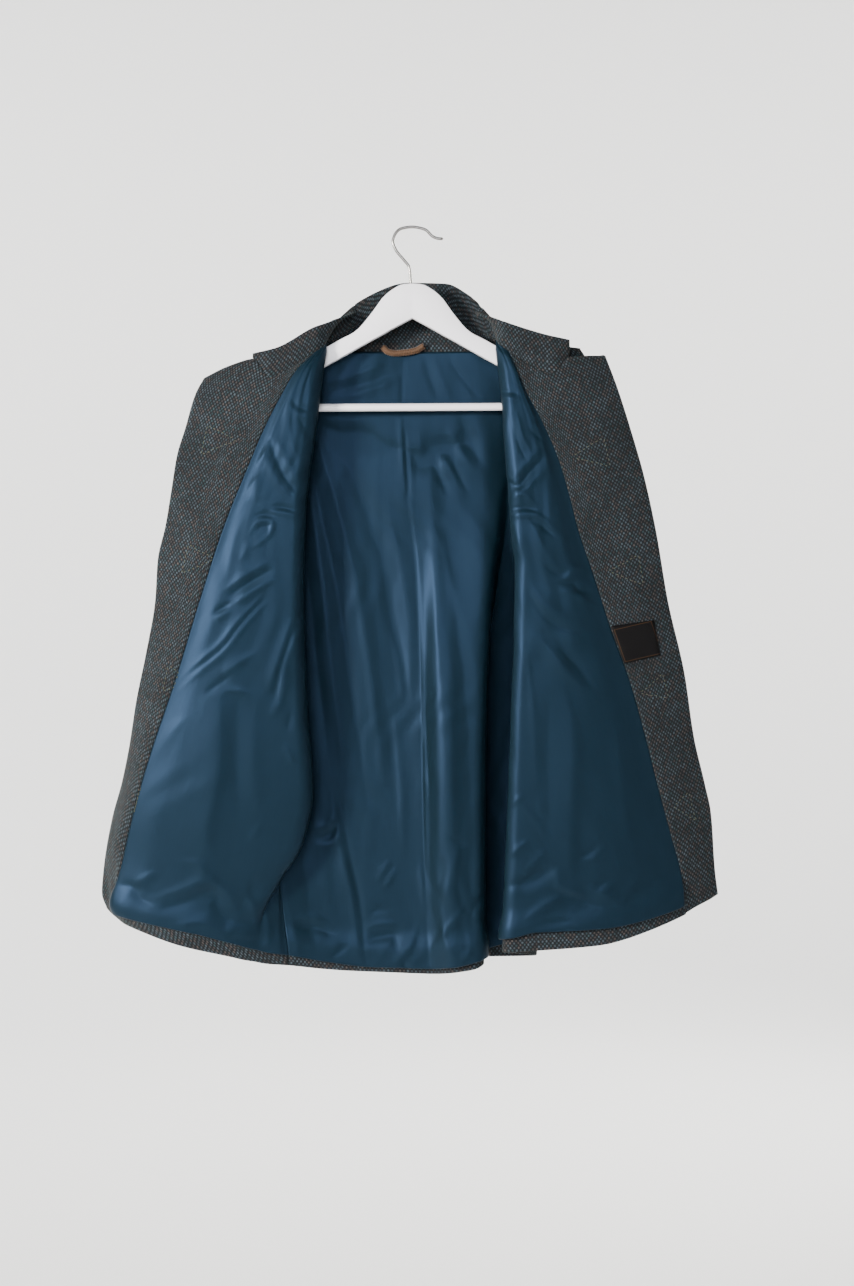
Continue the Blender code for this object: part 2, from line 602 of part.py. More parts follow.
def make_collar(panels):
    """The collar, whose foot takes its points from the panels' top edges."""
    feet, stations = [], []
    for panel_name, first, last in COLLAR_FEET:
        panel = panels[panel_name]
        start, end = panel.column(first), panel.column(last)
        step = 1 if end > start else -1
        for column in range(start, end + step, step):
            rib = panel.names[panel.rib_column.index(column)] if (
                column in panel.rib_column) else None
            if (panel_name, rib) in COLLAR:
                stations.append(len(feet))
            lift = COLLAR_NOTCH_LIFT[panel_name] if rib == "notch" else COLLAR_LIFT
            feet.append(panel.points[0, column] + np.array([0, 0, lift]))
    feet = np.array(feet)
    along = np.concatenate([[0], np.cumsum(np.linalg.norm(np.diff(feet, axis=0), axis=1))])
    lines = [feet]
    for which in (0, 1):
        known = true_place([row[which] for row in COLLAR.values()])
        lines.append(smooth(along[stations], known, along))
    up = np.linspace(0, 1, COLLAR_RISE)[:, None] * np.ones((1, len(along)))
    spread = np.array(lines)[:, None] * np.ones((1, COLLAR_RISE, 1, 1))
    cloth("collar", smooth(COLLAR_KNOTS, spread, up), COLLAR_CLOTH, 0, "tweed")


def make_loop():
    route = true_place(LOOP)
    knots = np.arange(len(route), dtype=float)
    line = smooth(knots, route, np.linspace(0, knots[-1], LOOP_POINTS))
    tube("hanging_loop", line, LOOP_RADIUS, "braid")


def on_front(front, side, across, height, lift):
    """Points on a front at these heights, moved `lift` off it along its normals times side."""
    across = np.asarray(across, float)
    top = front.surface(across, np.zeros(across.shape))[..., 2]
    hem = front.surface(across, np.ones(across.shape))[..., 2]
    share = (height - top) / (hem - top)
    lift = np.broadcast_to(lift, across.shape)[..., None]
    return front.surface(across, share) + front.find_normals(across, share) * side * lift


def make_label(front):
    """A bare label on the facing, its inner edge along the facing's seam."""
    start = front.across[front.names.index("facing_seam")] + LABEL_IN
    across, down = np.meshgrid(np.linspace(start, start + LABEL_WIDTH, 4), (0, 0.5, 1))
    lift = SEAM_GAP + TWEED + LABEL_LIFT  # clear of the facing, which is SEAM_GAP off the front
    points = on_front(front, -1, across, LABEL_TOP - LABEL_HEIGHT * down, lift)
    cloth("label", points, LABEL_THICK, -1, "label")


def make_patch(name, front, side, height, room):
    """A three-cornered leather patch on a front's outer face, its base towards the edge."""
    taper, down = np.meshgrid((1, 0.5, 0), (0, 0.5, 1))
    tall = PATCH_BASE * (1 - taper) + PATCH_TIP * taper
    across = front.across[-1] - PATCH_IN - PATCH_REACH * taper
    points = on_front(front, side, across, height + tall * (0.5 - down), TWEED + room)
    cloth(name, points, PATCH_THICK, side, "leather")


def hang(name, front, side, height, room, route):
    """A cord from a patch's base. route: across from the base, down, in metres."""
    out, down = np.array(route).T
    lift = TWEED + room + CORD_RADIUS
    points = on_front(front, side, front.across[-1] - PATCH_IN + out, height - down, lift)
    knots = np.arange(len(points), dtype=float)
    tube(name, smooth(knots, points, np.linspace(0, knots[-1], CORD_POINTS)), CORD_RADIUS,
         "cord")


def make_toggle(name, front, side, height, room):
    """A horn toggle that hangs level from the end of its cord."""
    reach = np.array([share for share, _ in TOGGLE]) * TOGGLE_LENGTH / 2
    lift = TWEED + room + max(radius for _, radius in TOGGLE) * MM
    middle = front.across[-1] - PATCH_IN + TOGGLE_OUT
    ends = on_front(front, side, (middle - TOGGLE_LENGTH / 2, middle + TOGGLE_LENGTH / 2),
                    height - TOGGLE_DROP, lift)
    axis = (ends[1] - ends[0]) / np.linalg.norm(ends[1] - ends[0])
    up = np.cross(axis, (0, 1, 0))
    up /= np.linalg.norm(up)
    out = np.cross(axis, up)
    vertices = []
    for along, (_, radius) in zip(reach, TOGGLE):
        for step in range(TOGGLE_SIDES):
            turn = 2 * math.pi * step / TOGGLE_SIDES
            vertices.append(ends.mean(axis=0) + axis * along
                            + (up * math.cos(turn) + out * math.sin(turn)) * radius * MM)
    faces = grid_faces(len(TOGGLE), TOGGLE_SIDES, closed=True)
    faces.append(tuple(range(TOGGLE_SIDES)))
    faces.append(tuple(reversed(range(len(vertices) - TOGGLE_SIDES, len(vertices)))))
    turn_out(mesh_object(name, vertices, faces, "horn"))


def make_fastenings(left, right):
    """Four rows of patches: the left front's hold loops and the right front's toggles."""
    for row, (height, left_room, right_room) in enumerate(FASTENING_ROWS, 1):
        make_patch(f"patch_left_{row}", left, -1, height, left_room)
        hang(f"loop_{row}", left, -1, height, left_room, LOOP_ROUTE)
        make_patch(f"patch_right_{row}", right, 1, height, right_room)
        hang(f"toggle_cord_{row}", right, 1, height, right_room, CORD_ROUTE)
        make_toggle(f"toggle_{row}", right, 1, height, right_room)


def main():
    clear_scene()
    make_materials()
    left = Panel(FRONT_LEFT, FRONT_ROWS, before=BACK["left"])
    right = Panel(FRONT_RIGHT, FRONT_ROWS, before=BACK["right"])
    back = Panel(BACK, BACK_ROWS, before=FRONT_LEFT["behind"], after=FRONT_RIGHT["behind"])
    make_hanger()
    make_panel("back", back, 1, (0, len(back.columns) - 1))
    make_panel("front_left", left, -1, (0, left.column("facing_seam")),
               left.column("facing_seam"))
    make_panel("front_right", right, 1, (0, right.column("facing_seam")),
               right.column("facing_seam"))
    make_neck_facing(back)
    make_sleeve("sleeve_left", -1, left, back)
    make_sleeve("sleeve_right", 1, right, back)
    make_collar({"front_left": left, "front_right": right, "back": back})
    make_loop()
    make_label(right)
    make_fastenings(left, right)


main()
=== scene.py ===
"""Dresses the tweed coat and the hanger that it hangs on.

Every panel of cloth is one smooth surface through a few ribs: lines from the top edge down to
the hem, along its folds, edges and seams. The tweed, its hem, the facing and the lining are
layers on that surface, each with its own creases. Metres, +Z up, the inside towards -Y, and
the hook's resting point at the origin. Tables are in millimetres: height, side and depth, as
they look from the front at LOOK_FROM.
"""

from __future__ import annotations

import logging
import math
from collections.abc import Sequence
from dataclasses import dataclass
from enum import Enum

import bpy
import numpy as np
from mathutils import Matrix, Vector


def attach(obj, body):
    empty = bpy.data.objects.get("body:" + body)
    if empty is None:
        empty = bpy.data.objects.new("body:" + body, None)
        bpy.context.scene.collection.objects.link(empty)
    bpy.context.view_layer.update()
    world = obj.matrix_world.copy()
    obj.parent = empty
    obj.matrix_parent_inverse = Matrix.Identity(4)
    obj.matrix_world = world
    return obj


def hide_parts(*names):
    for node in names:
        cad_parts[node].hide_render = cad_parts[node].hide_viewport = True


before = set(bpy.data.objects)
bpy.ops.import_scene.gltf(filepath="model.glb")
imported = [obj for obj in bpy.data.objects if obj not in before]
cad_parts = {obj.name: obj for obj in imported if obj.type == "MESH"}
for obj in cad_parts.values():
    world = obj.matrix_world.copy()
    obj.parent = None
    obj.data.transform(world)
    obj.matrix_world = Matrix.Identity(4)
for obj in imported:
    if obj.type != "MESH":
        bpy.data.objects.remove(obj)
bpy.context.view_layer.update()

LOG = logging.getLogger("coat")
Array = np.ndarray
Rows = tuple[tuple[float, float, float], ...]
Ribs = dict[str, Rows]
Line = tuple[tuple[float, float], ...]

MM = 0.001
PIXEL = 1.3  # millimetres for each of the photograph's pixels, at the hook's depth
HOOK_PIXEL = (412.5, 227.0)  # where the hook rests in the photograph
LOOK_FROM = np.array([0.019, -2.5, -0.539])
WIRE_RADIUS = 0.0019
TWEED = 0.0020
LINING = 0.0010
UNDERARM = -0.386
ROUND_ABOVE = 0.020  # the side seams start to bend round this far above the underarm
ROUND_OVER = 0.050  # and are fully round this much further down
SOFT_CORNER = 4e-7  # the square of 0.63 mm
MIDDLE = 0.45  # the share of a panel's height where its width is measured

# Ribs of the side seams below the underarm: height, side, depth.
SIDE_LEFT: Rows = (
    (-388, -191, 8), (-393, -191, 8), (-500, -190, 8), (-620, -190, 8), (-740, -188, 8),
    (-860, -172, 9), (-958, -160, 9),
)
SIDE_RIGHT: Rows = (
    (-388, 191, 8), (-393, 191, 8), (-470, 191, 12), (-560, 188, 28), (-700, 178, 40),
    (-850, 165, 44), (-945, 160, 44),
)

FRONT_LEFT: Ribs = {
    "side": ((-178, -218, -2), (-198, -214, -11), (-240, -206, -14), (-310, -198, -13),
             (-360, -193, -3)) + SIDE_LEFT,
    "behind": ((-164, -168, -2), (-174, -168, -9), (-196, -168, -14), (-260, -168, -16),
               (-340, -167, -14), (-400, -167, -9), (-500, -167, -7), (-620, -166, -7),
               (-740, -165, -4), (-860, -180, 4), (-956, -190, 4)),
    "behind_fold": ((-152, -130, -3), (-160, -132, -10), (-185, -136, -14), (-240, -142, -17),
                    (-340, -150, -17), (-485, -155, -13), (-620, -152, -12),
                    (-740, -146, -9), (-860, -190, 0), (-953, -206, 1)),
    "fold": ((-148, -113, -6), (-155, -114, -12), (-185, -119, -18), (-238, -126, -24),
             (-381, -143, -25), (-485, -145, -22), (-615, -141, -20), (-730, -133, -17),
             (-800, -146, -12), (-860, -182, -6), (-910, -207, -3), (-951, -219, -2)),
    "turned": ((-152, -114, -14), (-185, -127, -27), (-238, -137, -33), (-381, -154, -34),
               (-485, -156, -32), (-615, -152, -30), (-730, -146, -26), (-800, -160, -19),
               (-860, -196, -11), (-910, -220, -7), (-948, -232, -5)),
    "lining_mid": ((-158, -120, -20), (-190, -140, -30), (-238, -157, -33),
                   (-313, -178, -33), (-400, -198, -33), (-500, -214, -33),
                   (-620, -232, -31), (-740, -244, -28), (-860, -280, -16),
                   (-933, -300, -10)),
    "facing_seam": ((-165, -129, -23), (-190, -153, -29), (-224, -173, -30),
                    (-257, -190, -30), (-313, -214, -29), (-393, -246, -27),
                    (-485, -276, -25), (-593, -309, -20), (-682, -339, -14),
                    (-758, -361, -8), (-824, -376, 0), (-880, -388, 7), (-905, -372, 10)),
    "gorge": ((-196, -185, -27), (-230, -202, -28), (-264, -222, -27), (-389, -268, -24),
              (-485, -293, -21), (-615, -332, -13), (-724, -362, -3), (-824, -385, 10),
              (-899, -381, 22)),
    "notch": ((-172, -207, -19), (-200, -224, -21), (-264, -246, -22), (-389, -286, -19),
              (-485, -308, -15), (-615, -343, -5), (-724, -368, 6), (-824, -391, 22),
              (-893, -388, 34)),
    "lapel": ((-182, -240, -15), (-215, -257, -16), (-264, -270, -17), (-389, -304, -13),
              (-485, -321, -8), (-615, -351, 3), (-724, -373, 16), (-824, -395, 32),
              (-889, -392, 45)),
    "edge": ((-197, -270, -10), (-217, -281, -10), (-264, -295, -10), (-296, -305, -10),
             (-346, -313, -8), (-389, -320, -6), (-433, -330, -3), (-485, -333, 0),
             (-556, -345, 5), (-615, -357, 10), (-675, -366, 18), (-724, -376, 26),
             (-768, -388, 34), (-840, -400, 46), (-866, -402, 50), (-885, -395, 56)),
}
FRONT_RIGHT: Ribs = {
    "side": ((-161, 218, -2), (-184, 214, -11), (-240, 206, -14), (-310, 198, -13),
             (-360, 193, -3)) + SIDE_RIGHT,
    "behind": ((-155, 168, -2), (-165, 168, -9), (-190, 168, -14), (-260, 168, -16),
               (-340, 167, -14), (-400, 167, -9), (-500, 165, -2), (-600, 160, 10),
               (-700, 154, 16), (-850, 148, 18), (-943, 146, 18)),
    "behind_fold": ((-149, 128, -3), (-157, 129, -10), (-185, 132, -14), (-238, 135, -17),
                    (-340, 142, -17), (-420, 151, -14), (-550, 148, -8), (-680, 141, -4),
                    (-810, 136, -3), (-942, 132, -3)),
    "fold": ((-145, 110, -6), (-152, 111, -12), (-185, 115, -18), (-238, 121, -24),
             (-340, 128, -25), (-407, 133, -24), (-440, 137, -23), (-550, 135, -21),
             (-680, 130, -18), (-810, 125, -16), (-941, 119, -16)),
    "turned": ((-150, 112, -14), (-185, 123, -27), (-238, 131, -33), (-340, 139, -34),
               (-407, 144, -34), (-440, 148, -33), (-550, 146, -31), (-680, 141, -28),
               (-810, 137, -26), (-941, 132, -25)),
    "lining_mid": ((-156, 118, -20), (-185, 131, -29), (-213, 139, -32), (-250, 151, -33),
                   (-346, 171, -34), (-446, 192, -34), (-526, 203, -34), (-672, 222, -31),
                   (-788, 234, -28), (-932, 244, -22)),
    "facing_seam": ((-163, 126, -23), (-183, 134, -28), (-213, 147, -30), (-250, 167, -30),
                    (-303, 190, -29), (-346, 203, -28), (-396, 216, -27), (-446, 233, -26),
                    (-526, 259, -24), (-593, 283, -21), (-672, 305, -17), (-728, 319, -14),
                    (-788, 335, -10), (-850, 350, -5), (-893, 352, -3)),
    "gorge": ((-191, 181, -27), (-225, 198, -28), (-264, 208, -27), (-396, 246, -24),
              (-485, 273, -21), (-582, 301, -17), (-664, 322, -12), (-724, 337, -9),
              (-836, 361, -1), (-885, 365, 2)),
    "notch": ((-170, 204, -20), (-211, 232, -22), (-264, 240, -22), (-396, 272, -20),
              (-485, 295, -17), (-582, 320, -12), (-664, 338, -7), (-724, 352, -4),
              (-836, 373, 4), (-879, 376, 6)),
    "lapel": ((-168, 230, -14), (-211, 252, -16), (-264, 264, -17), (-396, 297, -14),
              (-485, 315, -11), (-582, 338, -6), (-664, 353, -1), (-724, 367, 2),
              (-836, 384, 9), (-873, 387, 11)),
    "edge": ((-168, 250, -8), (-211, 266, -10), (-264, 283, -10), (-323, 300, -9),
             (-396, 316, -8), (-485, 331, -5), (-582, 353, 0), (-664, 365, 5),
             (-724, 379, 8), (-761, 387, 10), (-836, 392, 14), (-867, 396, 16)),
}
BACK: Ribs = {
    "side_left": ((-178, -218, 2), (-198, -214, 13), (-240, -206, 21), (-310, -198, 22),
                  (-360, -193, 16)) + SIDE_LEFT,
    "left": ((-164, -168, 2), (-174, -169, 10), (-196, -170, 19), (-240, -170, 26),
             (-310, -168, 30), (-450, -162, 32), (-620, -158, 32), (-740, -152, 28),
             (-860, -135, 20), (-962, -122, 16)),
    "neck_left": ((-150, -113, 4), (-158, -114, 13), (-180, -117, 17), (-220, -118, 22),
                  (-310, -116, 27), (-450, -112, 28), (-620, -106, 28), (-740, -100, 26),
                  (-860, -90, 22), (-965, -80, 18)),
    "mid_left": ((-124, -62, 26), (-160, -62, 21), (-240, -60, 22), (-400, -56, 26),
                 (-620, -50, 26), (-800, -42, 22), (-967, -30, 16)),
    "centre": ((-119, -9, 34), (-160, -11, 25), (-240, -10, 22), (-346, -8, 22),
               (-412, 2, 24), (-459, 6, 24), (-619, 12, 22), (-768, 15, 18),
               (-900, 19, 14), (-969, 23, 12)),
    "mid_right": ((-122, 46, 27), (-160, 46, 21), (-240, 46, 21), (-400, 50, 20),
                  (-520, 54, 8), (-700, 54, -1), (-860, 56, -4), (-967, 60, -5)),
    "bulge": ((-134, 84, 14), (-165, 86, 17), (-240, 88, 20), (-350, 92, 20),
              (-433, 92, 12), (-537, 86, 3), (-745, 82, -3), (-963, 82, -5)),
    "bulge_edge": ((-147, 110, 4), (-155, 111, 13), (-180, 112, 17), (-220, 112, 21),
                   (-310, 110, 24), (-400, 106, 20), (-433, 102, 15), (-537, 96, 9),
                   (-745, 91, 6), (-957, 91, 4)),
    "deep": ((-150, 136, 2), (-160, 136, 10), (-190, 136, 18), (-240, 134, 25),
             (-310, 130, 30), (-400, 120, 34), (-470, 107, 40), (-560, 94, 46),
             (-745, 87, 50), (-948, 87, 48)),
    "right": ((-155, 168, 2), (-165, 169, 10), (-190, 170, 19), (-240, 170, 26),
              (-310, 168, 30), (-400, 162, 36), (-500, 152, 50), (-620, 132, 58),
              (-745, 120, 62), (-946, 114, 60)),
    "side_right": ((-161, 218, 2), (-184, 214, 13), (-240, 206, 21), (-310, 198, 22),
                   (-360, 193, 16)) + SIDE_RIGHT,
}

# The collar, from the left notch round the neck to the right notch, at these panels' ribs:
# the roll (height, side, depth) and the outer edge (the same).
COLLAR: dict[tuple[str, str], Rows] = {
    ("front_left", "notch"): ((-168, -207, -19), (-165, -207, -18)),
    ("front_left", "gorge"): ((-178, -181, -27), (-158, -179, -25)),
    ("front_left", "facing_seam"): ((-147, -128, -25), (-131, -129, -24)),
    ("front_left", "fold"): ((-136, -107, -9), (-122, -103, -13)),
    ("back", "neck_left"): ((-120, -94, 12), (-116, -84, 4)),
    ("back", "mid_left"): ((-92, -58, 36), (-110, -58, 46)),
    ("back", "centre"): ((-74, -6, 42), (-132, -8, 56)),
    ("back", "mid_right"): ((-75, 42, 38), (-128, 46, 54)),
    ("back", "bulge"): ((-88, 70, 26), (-112, 78, 42)),
    ("back", "bulge_edge"): ((-114, 97, 12), (-114, 84, 4)),
    ("front_right", "fold"): ((-130, 107, -9), (-117, 100, -13)),
    ("front_right", "facing_seam"): ((-142, 124, -25), (-124, 122, -24)),
    ("front_right", "gorge"): ((-167, 180, -28), (-142, 181, -25)),
    ("front_right", "notch"): ((-156, 204, -21), (-147, 204, -20)),
}
# Sleeves: the outer and inner edge of the flattened tube from the armhole to the cuff, and
# half its thickness. Columns: height, side, depth for each edge, then the half thickness.
SLEEVE: tuple = (
    ((-188, 236, 6), (-395, 197, 11), 17),
    ((-206, 256, 16), (-404, 201, 18), 17),
    ((-246, 275, 26), (-424, 203, 27), 17),
    ((-310, 289, 33), (-462, 205, 34), 16),
    ((-400, 299, 40), (-520, 206, 40), 15),
    ((-520, 307, 44), (-600, 207, 44), 14),
    ((-650, 314, 46), (-700, 207, 46), 13),
    ((-776, 320, 47), (-790, 208, 47), 12),
)
# The braided loop at the back neck: height, side, depth.
LOOP: Rows = ((-156, -38, 17), (-162, -32, 15), (-164, -22, 15), (-163, -8, 15), (-160, 6, 15),
        (-155, 14, 16))
# The hanger's board: side, top, foot, in millimetres below the hook's wire.
BOARD: Rows = ((0, -74, -119), (12, -75, -125.5), (26, -82, -133), (38, -92, -140),
         (51, -110, -147), (75, -137, -160.5), (92, -146, -170), (112, -157, -181),
         (150, -178, -202), (192, -200, -226), (193, -200.5, -245), (205, -207, -246),
         (212, -214, -240))
HOOK: Line = ((-73, -2), (-53, -4), (-42.5, -11.5), (-30, -21.5), (-19, -25.3), (-9, -22.2),
        (-2.3, -15), (0, 0), (-1, 8.5), (-4, 17.5), (-12.4, 26.3), (-15, 33), (-15.6, 40.3))


class Slot(Enum):
    """The record's material slots."""

    TWEED = "tweed"
    SATIN = "satin"
    BRAID = "braid"
    LABEL = "label_cloth"
    LEATHER = "leather"
    CORD = "cord"
    HORN = "horn"
    LACQUER = "white_lacquer"
    STEEL = "hook_steel"


# ---------------------------------------------------------------- smooth surfaces


def true_place(rows: Sequence | Array) -> Array:
    """Puts rows at their true place.

    Args:
        rows: height, side and depth in millimetres, as seen from LOOK_FROM.

    Returns:
        X, Y and Z in metres.
    """
    rows = np.asarray(rows, float) * MM
    seen = np.stack([rows[..., 1], rows[..., 2], rows[..., 0] + WIRE_RADIUS], axis=-1)
    nearer = 1 - seen[..., 1:2] / LOOK_FROM[1]
    placed = LOOK_FROM + (seen - LOOK_FROM) * nearer
    placed[..., 1] = seen[..., 1]
    return placed


def as_seen(points: Array) -> Array:
    """Says where points look to be from LOOK_FROM.

    Args:
        points: X, Y and Z in metres.

    Returns:
        Side and height in millimetres, in the plane of the hook.
    """
    nearer = 1 - points[..., 1:2] / LOOK_FROM[1]
    flat = LOOK_FROM + (points - LOOK_FROM) / nearer
    return np.stack([flat[..., 0], flat[..., 2] - WIRE_RADIUS], axis=-1) / MM


def slopes_at(knots: Array, values: Array) -> Array:
    """Gives slopes for a curve that never swings past its knots.

    Args:
        knots: where the curve is known.
        values: what it is there, along the first axis.

    Returns:
        The slope at each knot, 0 where the curve turns back.
    """
    step = np.diff(knots).reshape((-1,) + (1,) * (values.ndim - 1))
    rise = np.diff(values, axis=0) / step
    before, after = rise[:-1], rise[1:]
    near, far = 2 * step[1:] + step[:-1], step[1:] + 2 * step[:-1]
    onward = before * after > 0
    mean = np.where(onward, near * after + far * before, 1)
    inner = np.where(onward, (near + far) * before * after / mean, 0)
    return np.concatenate([rise[:1], inner, rise[-1:]])


def smooth(knots: Sequence | Array, values: Array, at: Sequence | Array) -> Array:
    """Reads a smooth curve.

    Args:
        knots: where the curve is known.
        values: points there, along the first axis, and maybe one curve for each place in at.
        at: where to read it.

    Returns:
        The points at those places.
    """
    knots = np.asarray(knots, float)
    at = np.asarray(at, float)
    slopes = slopes_at(knots, values)
    low = np.clip(np.searchsorted(knots, at, side="right") - 1, 0, len(knots) - 2)
    step = (knots[low + 1] - knots[low])[..., None]
    t = (at - knots[low])[..., None] / step

    def pick(table: Array, index: Array) -> Array:
        """Takes the curve's own knot at each place."""
        if table.ndim == 2:
            return table[index]
        return np.take_along_axis(table, index[None, ..., None], axis=0)[0]

    start, end = pick(values, low), pick(values, low + 1)
    leave, arrive = pick(slopes, low), pick(slopes, low + 1)
    return (start * (1 + 2 * t) * (1 - t) ** 2 + end * t ** 2 * (3 - 2 * t)
            + step * (leave * t * (1 - t) ** 2 - arrive * t ** 2 * (1 - t)))


def through(points: Array, count: int) -> Array:
    """Reads count points of a smooth curve through a few."""
    knots = np.arange(len(points), dtype=float)
    return smooth(knots, points, np.linspace(0, knots[-1], count))


def gone_along(points: Array) -> Array:
    """Says how far along a path each of its points is."""
    return np.concatenate([[0], np.cumsum(np.linalg.norm(np.diff(points, axis=0), axis=1))])


def soft_floor(rise: Array) -> Array:
    """Keeps what is above 0, and brings the rest to 0 round a soft corner."""
    return 0.5 * (np.sqrt(rise ** 2 + SOFT_CORNER) + rise)


def rib_points(rows: Rows, down: Array) -> Array:
    """Gives points of one rib.

    Args:
        rows: the rib's table.
        down: shares of the way from the top edge to the hem.

    Returns:
        Their true places.
    """
    points = true_place(rows)
    fall = -points[:, 2]
    return smooth(fall, points, fall[0] + (fall[-1] - fall[0]) * down)


def ease(t: Array | float) -> Array:
    """Goes softly from 0 at 0 to 1 at 1."""
    t = np.clip(t, 0, 1)
    return t * t * (3 - 2 * t)


def unit(vectors: Array) -> Array:
    """Makes vectors one metre long."""
    return vectors / np.maximum(np.linalg.norm(vectors, axis=-1, keepdims=True), 1e-12)


def grid_normals(grid: Array, closed: bool = False) -> Array:
    """Gives the normals of a grid of points.

    Args:
        grid: rows of points.
        closed: whether each row is a ring.

    Returns:
        Normals along du x dv.
    """
    if closed:
        along = np.roll(grid, -1, axis=1) - np.roll(grid, 1, axis=1)
    else:
        along = np.gradient(grid, axis=1)
    return unit(np.cross(along, np.gradient(grid, axis=0)))


# ---------------------------------------------------------------- creases


@dataclass(frozen=True)
class Crease:
    """One soft ridge, or a trough if its depth is below 0.

    Its width, depth and line are in millimetres: side and height, as seen. lean makes one
    side steeper than the other, from -1 to 1.
    """

    depth: float
    width: float
    line: Line
    lean: float = 0.0

    def rise(self, at: Array) -> Array:
        """Gives how far it lifts the cloth.

        Args:
            at: side and height as seen, in millimetres.

        Returns:
            The lift towards the inside of the coat, in metres.
        """
        line = np.array(self.line, float)
        if len(line) > 2:
            line = through(line, 12)
        lengths = np.linalg.norm(np.diff(line, axis=0), axis=1)
        gone = np.concatenate([[0], np.cumsum(lengths)])
        gap = np.full(at.shape[:-1], np.inf)
        share, hand = np.zeros_like(gap), np.zeros_like(gap)
        for start, end, begun, length in zip(line, line[1:], gone, lengths):
            way = (end - start) / length
            off = at - start
            run = np.clip(off @ way, 0, length)
            here = np.linalg.norm(off - run[..., None] * way, axis=-1)
            nearer = here < gap
            side = np.sign(off[..., 0] * way[1] - off[..., 1] * way[0])
            gap = np.where(nearer, here, gap)
            share = np.where(nearer, (begun + run) / gone[-1], share)
            hand = np.where(nearer, side, hand)
        spread = self.width * (1 + self.lean * hand) * (0.6 + 0.4 * np.sin(math.pi * share))
        q = (gap / spread) ** 2
        return self.depth * MM * np.exp(-q ** 0.74) * np.sin(math.pi * np.clip(
            0.04 + 0.92 * share, 0, 1)) ** 0.7


def ripples(u: Array, v: Array, seed: int, waves: Sequence[tuple[float, float]]) -> Array:
    """Gives uneven ripples that run down the cloth.

    Args:
        u: metres across.
        v: metres down.
        seed: which ripples.
        waves: their width and height, in millimetres.

    Returns:
        The lift in metres, about 0.
    """
    rng = np.random.default_rng(seed)
    total = np.zeros_like(u)
    for width, height in waves:
        a, b, c, d = rng.uniform(0, 2 * math.pi, 4)
        long = rng.uniform(0.12, 0.3)
        wander = 0.8 * width * MM * np.sin(v / long * 2 + a) + 0.5 * width * MM * np.sin(
            v / long * 5 + b)
        swell = 0.55 + 0.45 * np.sin(v / long * 3 + c + u * 23)
        total += height * MM * swell * np.sin(2 * math.pi * (u + wander) / (width * MM) + d)
    return total


# How far up from the hem the lining stops on each side, as seen: side, millimetres.
LINING_FOOT: Line = ((-400, 16), (-283, 20), (-171, 14), (-59, 6), (60, 7), (90, 10), (155, 24),
                     (240, 22), (345, 12))

def read_off(*rows: tuple) -> tuple[Crease, ...]:
    """Turns creases that were read off the photograph to millimetres.

    Args:
        rows: depth and width in millimetres, the line in pixels and, where it has one, the lean.

    Returns:
        The creases.
    """
    return tuple(Crease(depth, width, tuple(
        (round((x - HOOK_PIXEL[0]) * PIXEL), round((HOOK_PIXEL[1] - y) * PIXEL))
        for x, y in line), *lean) for depth, width, line, *lean in rows)


